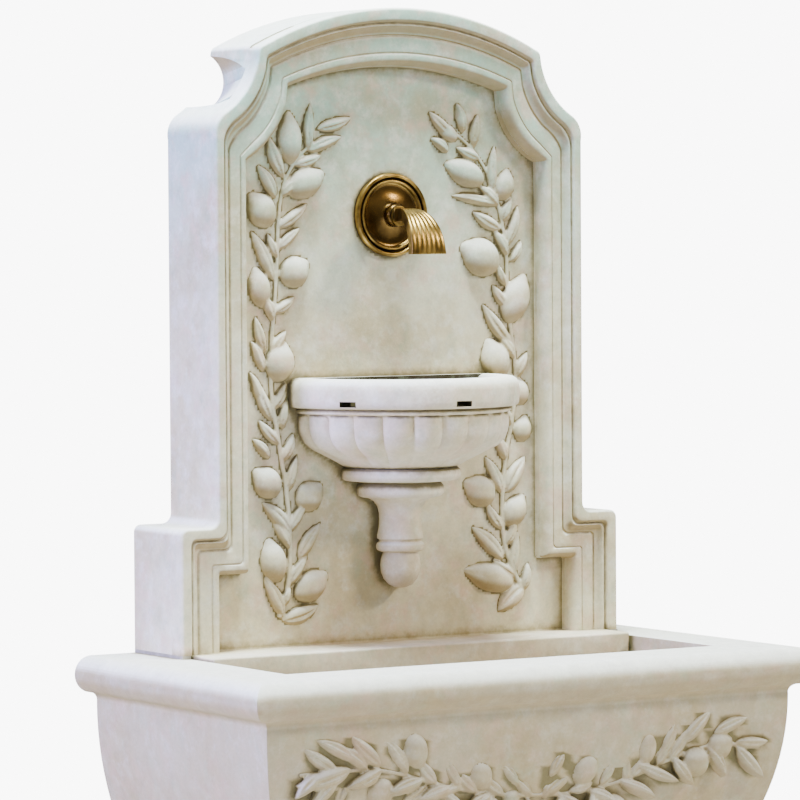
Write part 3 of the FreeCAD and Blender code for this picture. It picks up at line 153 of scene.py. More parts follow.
def scaled(nodes, links, source, span, reach, curve="LINEAR"):
    """Takes a value from one span, (low, high), to another and no further."""
    rule = nodes.new("ShaderNodeMapRange")
    rule.interpolation_type = curve
    rule.inputs["From Min"].default_value, rule.inputs["From Max"].default_value = span
    rule.inputs["To Min"].default_value, rule.inputs["To Max"].default_value = reach
    links.new(source, rule.inputs["Value"])
    return rule.outputs["Result"]


def feed(links, socket, value):
    """Sets a socket to a number or a colour, or links another node to it."""
    if isinstance(value, (int, float)):
        socket.default_value = value
    elif isinstance(value, tuple):
        socket.default_value = (*value, 1)
    else:
        links.new(value, socket)


def blend(nodes, links, share, first, second):
    """Mixes two colours by a share, each a fixed colour or another node's."""
    mix = nodes.new("ShaderNodeMix")
    mix.data_type = "RGBA"
    for number, value in ((0, share), (6, first), (7, second)):
        feed(links, mix.inputs[number], value)
    return mix.outputs[2]


def layer(nodes, links, colour, where, share, tone):
    """Lays a tone over a colour where a pattern shows, at most by a share."""
    product = nodes.new("ShaderNodeMath")
    product.operation = "MULTIPLY"
    feed(links, product.inputs[0], where)
    feed(links, product.inputs[1], share)
    return blend(nodes, links, product.outputs[0], colour, tone)


def sheltered(nodes, links, patches, share):
    """How sheltered each spot is, as Weathering keeps it, made ragged by a share of patches."""
    hollow = nodes.new("ShaderNodeAttribute")
    hollow.attribute_name = "hollow"
    ragged = nodes.new("ShaderNodeMath")
    ragged.operation = "MULTIPLY_ADD"
    ragged.inputs[1].default_value = share
    links.new(patches, ragged.inputs[0])
    links.new(hollow.outputs["Fac"], ragged.inputs[2])
    return ragged.outputs[0]


def relief(nodes, links, pattern, strength, depth):
    """Raises a surface by a pattern, up to a depth in metres."""
    bump = nodes.new("ShaderNodeBump")
    bump.inputs["Strength"].default_value = strength
    bump.inputs["Distance"].default_value = depth
    links.new(pattern, bump.inputs["Height"])
    return bump


# lichen's colour, and the dark colour of dirt and painted shade in the hollows
LICHEN, GRIME_AND_HOLLOW_SHADE = (0.42, 0.50, 0.36), (0.16, 0.135, 0.06)
# a painted highlight for upward-facing sides and painted shade for undersides
TOP_HIGHLIGHT_PAINT, UNDERSIDE_SHADE_PAINT = (0.88, 0.88, 0.84), (0.33, 0.23, 0.10)
CROWN_RISE = (0.92, 1.24)  # the heights in metres between which the crown's colour takes over


def cast_stone(name, cream, ochre, wash, blush, crown=None, top_highlight_share=0.8, underside_shade_share=0.85):
    """Pale cast stone: a cream body, ochre wash in drifts, lichen, pink stains, white bloom, sandy
    pores, dirt and painted shade in the hollows, painted highlight on upper sides, painted shade on
    undersides."""
    made, nodes, links, finish = node_tree(name)
    spot = nodes.new("ShaderNodeTexCoord")
    place = spot.outputs["Object"]

    def patches(low, high, curve, *noise_settings):
        return ramp(nodes, links, cloud(nodes, links, place, *noise_settings), low, high, curve)

    drift = patches(0.40, 0.66, "EASE", 0.16, 7, 0.62)
    stain = patches(0.48, 0.68, "EASE", 0.055, 7, 0.66, (3.1, 1.7, 0.4))
    bloom = patches(0.46, 0.70, "EASE", 0.030, 8, 0.7, (7.3, 2.2, 5.1))
    lichen = patches(0.50, 0.72, "EASE", 0.042, 7, 0.68, (1.9, 6.2, 3.4))
    blotch = patches(0.3, 0.7, "LINEAR", 0.022, 7, 0.68, (5.5, 3.3, 1.1))
    speck = patches(0.3, 0.7, "EASE", 0.004, 4, 0.6)
    body = cream
    if crown:
        height = nodes.new("ShaderNodeSeparateXYZ")
        links.new(place, height.inputs[0])
        rise = scaled(nodes, links, height.outputs["Z"], CROWN_RISE, (0, 1))
        body = blend(nodes, links, rise, cream, crown)
    colour = layer(nodes, links, body, drift, 0.65, ochre)
    colour = layer(nodes, links, colour, lichen, 0.45, LICHEN)
    colour = layer(nodes, links, colour, stain, 0.55, blush)
    colour = layer(nodes, links, colour, bloom, 0.55, wash)
    # painted highlight where a spot faces up and painted shade where it faces down, by its normal
    lie = nodes.new("ShaderNodeSeparateXYZ")
    links.new(spot.outputs["Normal"], lie.inputs[0])
    for span, share, tone in (((0.10, 0.62), top_highlight_share, TOP_HIGHLIGHT_PAINT),
                              ((-0.04, -0.5), underside_shade_share, UNDERSIDE_SHADE_PAINT)):
        facing = scaled(nodes, links, lie.outputs["Z"], span, (0, share), "SMOOTHSTEP")
        colour = blend(nodes, links, facing, colour, tone)
    # dirt and painted shade in the hollows: ochre, then dark grime, where the kept hollow value is
    # high
    crumbs = cloud(nodes, links, place, 0.018, 6, 0.65, (1.3, 4.1, 2.2))
    ragged = sheltered(nodes, links, crumbs, 0.42)
    colour = layer(nodes, links, colour, ramp(nodes, links, ragged, 0.22, 0.55), 0.6, ochre)
    colour = layer(nodes, links, colour, ramp(nodes, links, ragged, 0.36, 0.72), 0.85, GRIME_AND_HOLLOW_SHADE)
    shade = nodes.new("ShaderNodeHueSaturation")
    links.new(colour, shade.inputs["Color"])
    lift = scaled(nodes, links, blend(nodes, links, 0.3, blotch, speck), (0, 1), (0.84, 1.10))
    links.new(lift, shade.inputs["Value"])
    links.new(shade.outputs["Color"], finish.inputs["Base Color"])
    finish.inputs["Roughness"].default_value = 0.85
    finish.inputs["Specular IOR Level"].default_value = 0.25
    sand = relief(nodes, links, cloud(nodes, links, place, 0.003, 5, 0.65), 0.35, 0.0006)
    wave = relief(nodes, links, cloud(nodes, links, place, 0.035, 4, 0.5), 0.6, 0.0025)
    links.new(wave.outputs["Normal"], sand.inputs["Normal"])
    links.new(sand.outputs["Normal"], finish.inputs["Normal"])
    return made


def pick(piece):
    """Selects one piece alone and makes it the active one."""
    bpy.ops.object.select_all(action="DESELECT")
    piece.select_set(True)
    bpy.context.view_layer.objects.active = piece


def edit(piece):
    """Opens one piece in edit mode with nothing else selected."""
    pick(piece)
    bpy.ops.object.mode_set(mode="EDIT")


def edit_whole(piece):
    """Opens one piece in edit mode with all of its mesh selected."""
    edit(piece)
    bpy.ops.mesh.select_all(action="SELECT")


def leave():
    """Goes back to object mode."""
    bpy.ops.object.mode_set(mode="OBJECT")


def finish_with(piece, kind, **settings):
    """Puts one modifier on a piece and applies it."""
    pick(piece)
    step = piece.modifiers.new(kind.lower(), kind)
    for name, value in settings.items():
        setattr(step, name, value)
    bpy.ops.object.modifier_apply(modifier=step.name)


def smooth(piece, angle):
    """Shades a piece smooth, apart from edges sharper than an angle in degrees."""
    pick(piece)
    bpy.ops.object.shade_smooth_by_angle(angle=math.radians(angle))


def from_cad(node, name):
    """A copy of a CAD node's mesh in its place, welded, with its flat faces made whole."""
    piece = frame["nodes"][node].copy()
    piece.data = piece.data.copy()
    piece.data.materials.clear()
    for key in list(piece.keys()):
        del piece[key]
    piece.parent = None
    piece.matrix_world = Matrix.Identity(4)
    piece.name = piece.data.name = name
    bpy.context.scene.collection.objects.link(piece)
    edit_whole(piece)
    bpy.ops.mesh.remove_doubles(threshold=0.00002)
    bpy.ops.mesh.dissolve_limited(angle_limit=math.radians(1.0))
    leave()
    return piece


def soften(piece, width, steps=3):
    """Rounds a piece's sharp edges, as a casting's are, and shades its curves smooth."""
    sharp = 32
    finish_with(piece, "BEVEL", width=width, segments=steps, limit_method="ANGLE",
                angle_limit=math.radians(sharp))
    smooth(piece, sharp)


def grid_cut(piece, pitch):
    """Cuts a piece's big flat faces into a grid, so that dirt, patina and painted shade can be laid
    on it bit by bit.
    """
    corners = [vertex.co for vertex in piece.data.vertices]
    edit(piece)
    for axis in range(3):
        low, high = min(c[axis] for c in corners), max(c[axis] for c in corners)
        for number in range(1, math.ceil((high - low) / pitch)):
            spot, way = [0, 0, 0], [0, 0, 0]
            spot[axis], way[axis] = low + number * pitch, 1
            bpy.ops.mesh.select_all(action="SELECT")
            bpy.ops.mesh.bisect(plane_co=spot, plane_no=way)
    leave()


def set_in(piece, slot, paint, *nodes):
    """Gives a finished piece its material and body, and hides the CAD nodes that it stands for. Its
    slot is not used.
    """
    piece.data.materials.clear()
    piece.data.materials.append(paint)
    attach(piece, "fountain")
    if nodes:
        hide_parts(*nodes)


basin_stone = cast_stone("basin_stone", cream=(0.50, 0.43, 0.30), ochre=(0.44, 0.34, 0.18),
                         wash=(0.62, 0.57, 0.46), blush=(0.58, 0.40, 0.30), underside_shade_share=0.55)
basin = from_cad("basin", "basin_casting")
soften(basin, 0.004)
grid_cut(basin, 0.022)
set_in(basin, "cast_stone", basin_stone, "basin")

# Ledge block
# A cast slab on two walls that stands in the basin behind the water, carries nothing, and hides
# the pump. The panel's foot stands just behind it.
ledge_stone = cast_stone("ledge_stone", cream=(0.70, 0.62, 0.47), ochre=(0.52, 0.40, 0.22),
                         wash=(0.78, 0.75, 0.66), blush=(0.74, 0.52, 0.42), top_highlight_share=0.1)
ledge = from_cad("ledge_block", "ledge_casting")
soften(ledge, 0.003)
grid_cut(ledge, 0.03)
set_in(ledge, "cast_stone", ledge_stone, "ledge_block")

# Back panel
# A thick cast slab with an arched head, coved shoulders and a wider foot. Its front border, a flat,
# a quirk, a cove and an inner band that rounds down to the sunk field, is run along its outline.
MM = 0.001
PANEL_FOOT = 447  # outlines and sections are in mm


def circle_of(first, through, last):
    """Centre and radius of the circle through three points."""
    (ax, ay), (bx, by), (cx, cy) = first, through, last
    d = 2 * (ax * (by - cy) + bx * (cy - ay) + cx * (ay - by))
    ux = ((ax * ax + ay * ay) * (by - cy) + (bx * bx + by * by) * (cy - ay)
          + (cx * cx + cy * cy) * (ay - by)) / d
    uy = ((ax * ax + ay * ay) * (cx - bx) + (bx * bx + by * by) * (ax - cx)
          + (cx * cx + cy * cy) * (bx - ax)) / d
    return ux, uy, math.hypot(ax - ux, ay - uy)


def arc_between(first, through, last, count):
    """Points after the first up to the last along the circle through three points."""
    ux, uy, reach = circle_of(first, through, last)
    start, middle, end = (math.atan2(y - uy, x - ux) for x, y in (first, through, last))
    span = (end - start) % (2 * math.pi)
    if (middle - start) % (2 * math.pi) > span:
        span -= 2 * math.pi
    angles = [start + span * number / count for number in range(1, count + 1)]
    return [(ux + reach * math.cos(angle), uy + reach * math.sin(angle)) for angle in angles]


def straight(first, last, count):
    """Points after the first up to the last along a line."""
    (x, z), (x2, z2) = first, last
    return [(x + (x2 - x) * n / count, z + (z2 - z) * n / count) for n in range(1, count + 1)]


def turn(first, corner, last, radius):
    """A small round at a corner between two lines: (start of the round, its points)."""
    a, b, c = Vector(first), Vector(corner), Vector(last)
    before, after = (a - b).normalized(), (c - b).normalized()
    half = before.angle(after) / 2
    cut = radius / math.tan(half)
    start, end = b + before * cut, b + after * cut
    centre = b + (before + after).normalized() * (radius / math.sin(half))
    middle = centre + (b - centre).normalized() * radius
    return tuple(start), arc_between(tuple(start), tuple(middle), tuple(end), 6)


def half_line(foot, foot_top, side, shoulder, cove, ear, crown, rounds):
    """The right half of an outline from the panel's foot to its crown, in mm, always with the same
    number of points, so that any two of them can be joined point to point."""
    line = [(foot, PANEL_FOOT)]
    a, bend = turn(line[-1], (foot, foot_top), (side, foot_top), rounds[0])
    line += straight(line[-1], a, 12) + bend
    a, bend = turn(line[-1], (side, foot_top), (side, shoulder[0][1]), rounds[1])
    line += straight(line[-1], a, 4) + bend
    line += straight(line[-1], shoulder[0], 44)
    line += arc_between(*shoulder, 8)
    line += arc_between(*cove, 14)
    a, bend = turn(cove[2], ear, (0, crown), rounds[2])
    line += straight(line[-1], a, 3) + bend
    mirrored = (-bend[-1][0], bend[-1][1])
    line += arc_between(bend[-1], (0, crown), mirrored, 56)[:28]
    return line


def whole_line(half):
    """The whole outline from the right foot over the crown to the left foot."""
    return half + [(-x, z) for x, z in reversed(half[:-1])]


inner_bend = arc_between((258, 1158), (215.2, 1191.6), (190, 1238), 22)
outer_line = whole_line(half_line(
    foot=380, foot_top=629, side=318, shoulder=[(318, 1190), (312.7, 1217.6), (300, 1229)],
    cove=[(300, 1229), (266.6, 1260.5), (247, 1304)], ear=(244, 1324), crown=1384,
    rounds=(11, 15, 11)))
inner_line = whole_line(half_line(
    foot=307, foot_top=559, side=258, shoulder=[(258, 1158), inner_bend[3], inner_bend[7]],
    cove=[inner_bend[7], inner_bend[14], (190, 1238)], ear=(187, 1266), crown=1299,
    rounds=(4, 4, 4)))

# each point's share of the border's width, from the outer line to the inner one, and its y in mm
BORDER_SECTION = [
    (-0.002, 151.0), (-0.002, 140.0), (-0.002, 130.0), (0.000, 123.6), (0.012, 121.4),
    (0.030, 120.3), (0.055, 120.0), (0.12, 120.0), (0.19, 120.0), (0.215, 120.4), (0.230, 121.6),
    (0.238, 123.6), (0.246, 126.6), (0.258, 128.2), (0.272, 127.2), (0.288, 125.2), (0.306, 124.4),
    (0.324, 125.0), (0.340, 126.6), (0.362, 129.2), (0.392, 131.6), (0.425, 133.0), (0.450, 133.6),
    (0.458, 135.2), (0.470, 136.2), (0.484, 135.4), (0.498, 133.6), (0.512, 132.6), (0.56, 132.2),
    (0.66, 131.8), (0.745, 131.6), (0.762, 132.0), (0.770, 133.2), (0.782, 133.4), (0.790, 132.2),
    (0.804, 131.0), (0.84, 130.6), (0.885, 130.8), (0.920, 131.8), (0.948, 133.8), (0.970, 136.8),
    (0.984, 140.4), (0.992, 144.6), (0.997, 149.6), (1.000, 154.6), (1.003, 158.6), (1.012, 160.6),
    (1.03, 161.8), (1.04, 164.0), (0.50, 166.0), (-0.002, 151.0)]


def draw(name, points):
    """Draws a line by extruding one corner from point to point, as with a pen."""
    bpy.ops.object.select_all(action="DESELECT")
    bpy.ops.mesh.primitive_plane_add(size=0.001, location=points[0])
    piece = bpy.context.active_object
    piece.name = piece.data.name = name
    bpy.ops.object.transform_apply(location=True)
    bpy.ops.object.mode_set(mode="EDIT")
    bpy.ops.mesh.merge(type="CENTER")
    leave()  # left and opened again, so that the new corners follow each other in the mesh
    bpy.ops.object.mode_set(mode="EDIT")
    for here, there in zip(points, points[1:]):
        step = tuple(Vector(there) - Vector(here))
        bpy.ops.mesh.extrude_region_move(TRANSFORM_OT_translate={"value": step})
    leave()
    return piece


def sweep(piece, rows):
    """Extrudes a drawn line again and again and lays each new line on the next row of points."""
    count = len(piece.data.vertices)
    edit_whole(piece)
    for _ in rows:
        bpy.ops.mesh.extrude_region_move(TRANSFORM_OT_translate={"value": (0, 0, 0)})
    leave()
    for number, row in enumerate(rows, 1):
        for place, vertex in zip(row, piece.data.vertices[number * count:(number + 1) * count]):
            vertex.co = place


def close_up(piece, angle=40):
    """Welds a piece's seams, closes its ends, turns its faces outwards and shades it smooth."""
    edit_whole(piece)
    bpy.ops.mesh.remove_doubles(threshold=0.00003)
    bpy.ops.mesh.fill_holes(sides=0)
    bpy.ops.mesh.select_all(action="SELECT")
    bpy.ops.mesh.normals_make_consistent(inside=False)
    leave()
    smooth(piece, angle)


def between(first, second, share):
    """The points that lie a share of the way from one outline to another."""
    return [(a[0] + (b[0] - a[0]) * share, a[1] + (b[1] - a[1]) * share)
            for a, b in zip(first, second)]


border_rows = [[Vector((x * MM, depth * MM, z * MM))
                for x, z in between(outer_line, inner_line, share)]
               for share, depth in BORDER_SECTION]
border = draw("panel_moulding", border_rows[0])
sweep(border, border_rows[1:])
close_up(border, 38)
panel_stone = cast_stone("panel_stone", cream=(0.76, 0.72, 0.55), ochre=(0.52, 0.41, 0.22),
                         wash=(0.84, 0.84, 0.78), blush=(0.76, 0.54, 0.44),
                         crown=(0.43, 0.64, 0.55))
panel = from_cad("back_panel", "panel_casting")
for vertex in panel.data.vertices:
    if vertex.co.y < 0.1335:  # the plain front of the frame goes back behind the border
        vertex.co.y = 0.150
close_up(panel, 32)
soften(panel, 0.003)
set_in(panel, "cast_stone", panel_stone, "back_panel")
set_in(border, "cast_stone", panel_stone)

# the field's own face, a little uneven from the hand, tucked in behind the border
FIELD = 162  # the y of the CAD's field in mm
FIELD_WIDTH, FIELD_HEIGHT = 0.624, 0.872
bpy.ops.object.select_all(action="DESELECT")
bpy.ops.mesh.primitive_grid_add(x_subdivisions=160, y_subdivisions=218, size=1)
field = bpy.context.active_object
field.name = field.data.name = "panel_field"
edit(field)
bpy.ops.transform.resize(value=(FIELD_WIDTH, FIELD_HEIGHT, 1))
bpy.ops.transform.rotate(value=math.radians(-90), orient_axis="X", center_override=(0, 0, 0))
bpy.ops.transform.translate(value=(0, 0.1608, 0.446 + FIELD_HEIGHT / 2))
leave()


def inside(x, z, line):
    """Whether a point lies within a closed outline."""
    within = False
    for (ax, az), (bx, bz) in zip(line, line[1:] + line[:1]):
        if (az > z) != (bz > z) and x < ax + (z - az) * (bx - ax) / (bz - az):
            within = not within
    return within


field_limit = between(inner_line, outer_line, 0.12)
edit(field)
bpy.ops.mesh.select_mode(type="VERT")
bpy.ops.mesh.select_all(action="DESELECT")
leave()
for vertex in field.data.vertices:
    x, z = vertex.co.x / MM, vertex.co.z / MM
    vertex.select = not inside(x, z, field_limit) and z > PANEL_FOOT + 0.5
    slow = noise.noise(Vector((x / 90, 3.7, z / 90)))
    quick = noise.noise(Vector((x / 28, 8.1, z / 28)))
    vertex.co.y += (slow * 0.9 + quick * 0.35) * MM * 0.8
bpy.context.view_layer.objects.active = field
bpy.ops.object.mode_set(mode="EDIT")
bpy.ops.mesh.delete(type="VERT")
bpy.ops.mesh.select_all(action="SELECT")
bpy.ops.mesh.region_to_loop()
bpy.ops.mesh.extrude_region_move(TRANSFORM_OT_translate={"value": (0, 0.003, 0)})
leave()
close_up(field, 60)
set_in(field, "cast_stone", panel_stone)

# Lemon branches
# Two hanging branches of lemons and leaves in low relief, cast with the panel's field. Each fruit
# is half sunk in the stone, and each leaf stands proud of it on steep sides.


def leaf_blank(bow):
    """One pointed leaf a metre long and wide, foot at the origin, grooved and bowed aside."""
    bpy.ops.object.select_all(action="DESELECT")
    bpy.ops.mesh.primitive_grid_add(x_subdivisions=18, y_subdivisions=10, size=1)
    blank = bpy.context.active_object
    edit_whole(blank)
    bpy.ops.mesh.extrude_region_move(TRANSFORM_OT_translate={"value": (0, 0, 1)})
    leave()
    for vertex in blank.data.vertices:
        along, aside = vertex.co.x + 0.5, vertex.co.y * 2
        breadth = math.sin(math.pi * min(max(along, 0.006), 0.994) ** 0.82) ** 0.72
        arch = math.sin(math.pi * min(max(along, 0.02), 0.98)) ** 0.45
        groove = 0.34 * math.exp(-(aside / 0.17) ** 2)
        top = (0.42 + 0.58 * (1 - abs(aside) ** 2.3)) * arch - groove * arch
        vertex.co.x = along
        vertex.co.y = vertex.co.y * breadth + bow * math.sin(math.pi * along)
        vertex.co.z = top if vertex.co.z > 0.5 else -0.6
    return blank


def lemon_blank():
    """One lemon a metre long and wide, foot at the origin, with a nipple at its far end."""
    bpy.ops.object.select_all(action="DESELECT")
    bpy.ops.mesh.primitive_uv_sphere_add(segments=32, ring_count=22, radius=0.5)
    blank = bpy.context.active_object
    edit_whole(blank)
    bpy.ops.transform.rotate(value=math.radians(90), orient_axis="Y", center_override=(0, 0, 0))
    leave()
    neck, nipple = 0.80, 0.09
    for vertex in blank.data.vertices:
        end = vertex.co.x / 0.5
        slim = 1 - 0.10 * abs(end) ** 2
        vertex.co.y *= slim
        vertex.co.z *= slim
        if end > neck:
            vertex.co.x += nipple * ((end - neck) / 0.20) ** 1.2
        vertex.co.x = (vertex.co.x + 0.5) / (1 + nipple)
    return blank


def laid(blank, foot, tip, depth, breadth, height, lean=0, pitch=0):
    """A copy of a blank laid on an upright face from its foot to its tip, its top to the front."""
    (x, z), (x2, z2) = foot, tip
    item = blank.copy()
    item.data = blank.data.copy()
    bpy.context.scene.collection.objects.link(item)
    a, length = math.atan2(z2 - z, x2 - x), math.hypot(x2 - x, z2 - z)
    onto = Matrix(((math.cos(a), -math.sin(a), 0), (0, 0, -1),
                   (math.sin(a), math.cos(a), 0))).to_4x4()
    spot = Matrix.Translation(Vector((x, depth, z)) * MM)
    item.data.transform(Matrix.Diagonal((length * MM, breadth * MM, height * MM, 1)))
    item.data.transform(Matrix.Rotation(math.radians(lean), 4, "X"))
    item.data.transform(spot @ Matrix.Rotation(pitch, 4, "X") @ onto)
    return item


def twig(points, thick, thin):
    """A tapering stem through points."""
    line = bpy.data.curves.new("twig", "CURVE")
    line.dimensions = "3D"
    line.bevel_depth = 1
    line.bevel_resolution = 3
    line.use_fill_caps = True
    run = line.splines.new("NURBS")
    run.points.add(len(points) - 1)
    for number, (spot, place) in enumerate(zip(run.points, points)):
        spot.co = (*(Vector(place) * MM), 1)
        spot.radius = (thick + (thin - thick) * number / (len(points) - 1)) * MM
    run.order_u = 4
    run.use_endpoint_u = True
    item = bpy.data.objects.new("twig", line)
    bpy.context.scene.collection.objects.link(item)
    pick(item)
    bpy.ops.object.convert(target="MESH")
    return bpy.context.active_object


def trim(piece, depth):
    """Cuts a piece flat against an upright plane, at its y in mm, and closes the cut."""
    edit_whole(piece)
    bpy.ops.mesh.bisect(plane_co=(0, depth * MM, 0), plane_no=(0, 1, 0), use_fill=True,
                        clear_outer=True)
    leave()


def carve(name, items, sunk=None):
    """Joins fruits, leaves and stems, melts them into one relief and cuts off what lies deeper than
    a plane's y in mm."""
    bpy.ops.object.select_all(action="DESELECT")
    for item in items:
        item.select_set(True)
    bpy.context.view_layer.objects.active = items[0]
    bpy.ops.object.join()
    piece = bpy.context.active_object
    piece.name = piece.data.name = name
    finish_with(piece, "REMESH", mode="VOXEL", voxel_size=0.0016)
    finish_with(piece, "SMOOTH", factor=0.5, iterations=2)
    if sunk:
        trim(piece, sunk)
    finish_with(piece, "DECIMATE", ratio=0.5)
    bpy.ops.object.shade_smooth()
    return piece


leaves, lemon = (leaf_blank(0.10), leaf_blank(-0.10)), lemon_blank()
LEAF_HEIGHT, LEAF_LEANS = 12, (-12, 12)
# x and z of each leaf's or lemon's foot, then of its tip, and its width, all in mm; a stem has the
# x and z of each point that it passes
LEFT_LEAVES = [
    (-183, 1134, -210, 1198, 21), (-197, 1103, -227, 1153, 21), (-140, 1172, -136, 1243, 18),
    (-125, 1206, -66, 1223, 19), (-142, 1173, -82, 1194, 19), (-194, 1061, -143, 1097, 18),
    (-192, 1029, -155, 1061, 16), (-201, 984, -239, 1057, 22), (-194, 1017, -211, 1054, 14),
    (-202, 937, -166, 961, 16), (-216, 879, -232, 933, 17), (-219, 851, -241, 897, 17),
    (-206, 779, -233, 843, 19), (-210, 724, -239, 754, 16), (-177, 676, -163, 728, 16),
    (-175, 614, -223, 661, 24), (-162, 574, -124, 627, 22), (-188, 491, -220, 550, 22),
    (-187, 506, -176, 535, 14), (-190, 486, -128, 506, 26), (-188, 766, -179, 812, 16),
    (-223, 803, -243, 852, 15)]
LEFT_LEMONS = [
    (-171, 1153, -174, 1233, 42), (-177, 1113, -112, 1142, 46), (-204, 1064, -241, 1113, 48),
    (-188, 984, -140, 1011, 48), (-219, 945, -232, 1006, 38), (-198, 835, -184, 897, 50),
    (-194, 672, -238, 709, 46), (-163, 652, -120, 684, 46), (-197, 542, -213, 609, 44),
    (-168, 519, -111, 553, 46)]
RIGHT_LEAVES = [
    (109, 1199, 70, 1233, 18), (129, 1201, 118, 1246, 18), (148, 1179, 157, 1230, 18),
    (103, 1172, 72, 1193, 16), (180, 1111, 186, 1183, 18), (192, 1093, 108, 1107, 16),
    (196, 1057, 146, 1084, 20), (206, 1031, 227, 1092, 18), (214, 881, 163, 945, 22),
    (218, 879, 246, 933, 18), (195, 659, 166, 715, 20), (204, 659, 239, 714, 26),
    (198, 559, 141, 610, 26), (212, 527, 225, 601, 20), (234, 517, 188, 480, 34),
    (204, 971, 188, 1008, 14), (213, 1007, 232, 1040, 14), (223, 832, 244, 871, 18),
    (228, 723, 246, 760, 18)]
RIGHT_LEMONS = [
    (119, 1190, 84, 1214, 26), (167, 1128, 96, 1156, 42), (197, 1099, 210, 1149, 36),
    (191, 999, 125, 1034, 58), (205, 916, 240, 990, 50), (197, 830, 171, 894, 50),
    (182, 650, 128, 679, 48), (203, 609, 236, 657, 42), (217, 521, 127, 546, 44),
    (232, 790, 226, 835, 34), (228, 735, 241, 777, 34)]
LEFT_STEM = [
    (-196, 490), (-178, 530), (-176, 574), (-176, 618), (-179, 663), (-187, 707), (-194, 751),
    (-203, 795), (-208, 839), (-206, 890), (-200, 941), (-195, 1000), (-193, 1058), (-189, 1102),
    (-178, 1138), (-161, 1160), (-144, 1178), (-117, 1192)]
RIGHT_STEM = [
    (232, 508), (221, 534), (206, 557), (196, 603), (196, 649), (200, 694), (208, 739), (219, 784),
    (224, 829), (219, 874), (211, 920), (207, 965), (208, 1018), (199, 1071), (190, 1101),
    (178, 1134), (156, 1168), (128, 1194), (103, 1208)]


def filled(stem, placed, lemons, pitch, length, breadth, clear, edge=math.inf):
    """The placed leaves, and more along the stem wherever no leaf or fruit lies within a clear
    distance of the new one and its tip stays short of an edge."""
    full = list(placed)
    middles = [((x + x2) / 2, (z + z2) / 2) for x, z, x2, z2, _ in (*placed, *lemons)]
    run, count = 0, 0
    spread, variety = 0.6, 0.12
    for (x, z), (x2, z2) in zip(stem, stem[1:]):
        reach = math.hypot(x2 - x, z2 - z)
        while run < reach:
            foot = (x + (x2 - x) * run / reach, z + (z2 - z) * run / reach)
            for side in (1, -1):
                a = math.atan2(z2 - z, x2 - x) + side * spread
                size = length * (1 + variety * (count % 3 - 1))
                tip = (foot[0] + size * math.cos(a), foot[1] + size * math.sin(a))
                middle = ((foot[0] + tip[0]) / 2, (foot[1] + tip[1]) / 2)
                free = all(math.dist(middle, other) > clear for other in middles)
                if free and abs(tip[0]) < edge:
                    full.append((*foot, *tip, breadth))
                    middles.append(middle)
                count += 1
            run += pitch
        run -= reach
    return full


def branch(name, lemons, blades, stem):
    """One branch on the field: its stem, its fruits and its leaves, which lean by turns."""
    border_edge = 246
    items = [twig([(x, FIELD - 1, z) for x, z in stem], 5, 3)]
    blades = filled(stem, blades, lemons, pitch=26, length=46, breadth=17, clear=25)
    blades = [leaf for leaf in blades if abs(leaf[2]) < border_edge]
    for x, z, x2, z2, breadth in lemons:
        items.append(laid(lemon, (x, z), (x2, z2), FIELD + 1, breadth, breadth * 0.84))
    for number, (x, z, x2, z2, breadth) in enumerate(blades):
        items.append(laid(leaves[number % 2], (x, z), (x2, z2), FIELD, breadth, LEAF_HEIGHT,
                          LEAF_LEANS[number % 2]))
    return carve(name, items, FIELD + 1.5)


left_branch = branch("lemon_branch_left", LEFT_LEMONS, LEFT_LEAVES, LEFT_STEM)
right_branch = branch("lemon_branch_right", RIGHT_LEMONS, RIGHT_LEAVES, RIGHT_STEM)
for piece in (left_branch, right_branch):
    set_in(piece, "cast_stone", panel_stone)

# Basin garland
# Two branches of lemons and leaves like the panel's, cast with the basin. They meet and dip at the
# middle of its front and follow the belly of its wall.
BELLY_TOP, BELLY_FACE = 374, -226
BELLY = circle_of((BELLY_FACE, BELLY_TOP), (-193.3, 195.8), (-107, 50))


def belly(z):
    """The y of the basin's front at a height, both in mm."""
    middle, centre, reach = BELLY
    if z >= BELLY_TOP:
        return BELLY_FACE
    return middle - math.sqrt(max(reach * reach - (z - centre) ** 2, 0))


def slope(z):
    """How far the basin's front leans at a height."""
    return math.atan2(belly(z - 5) - belly(z + 5), 10)


GARLAND_LEAVES = [
    (-260, 315, -311, 363, 24), (-303, 325, -367, 357, 20), (-309, 313, -396, 295, 28),
    (-214, 302, -259, 357, 22), (-125, 275, -160, 339, 20), (-26, 270, -68, 314, 18),
    (27, 279, 58, 319, 20), (116, 261, 145, 310, 20), (160, 261, 168, 327, 20),
    (218, 296, 248, 356, 20), (258, 313, 309, 358, 22), (352, 301, 395, 251, 22),
    (310, 323, 372, 342, 20), (351, 308, 408, 306, 18), (-327, 263, -302, 309, 22),
    (-219, 259, -169, 287, 22), (-184, 261, -110, 276, 20), (179, 286, 247, 257, 18),
    (151, 263, 207, 235, 18), (62, 255, 105, 266, 16), (20, 246, 35, 274, 16),
    (-330, 300, -376, 262, 22), (-150, 268, -120, 222, 20), (-75, 258, -48, 214, 20),
    (-10, 250, -2, 200, 20), (50, 248, 32, 202, 20), (105, 252, 88, 206, 20),
    (240, 292, 270, 250, 20), (300, 305, 325, 258, 20)]
GARLAND_LEMONS = [
    (-195, 306, -211, 365, 42), (-78, 269, -105, 319, 42), (71, 267, 111, 311, 44),
    (192, 284, 199, 347, 36), (299, 294, 252, 272, 46), (299, 297, 347, 314, 44),
    (-269, 259, -241, 305, 50), (-122, 248, -166, 220, 40), (-23, 240, -51, 266, 38),
    (130, 245, 150, 200, 42)]
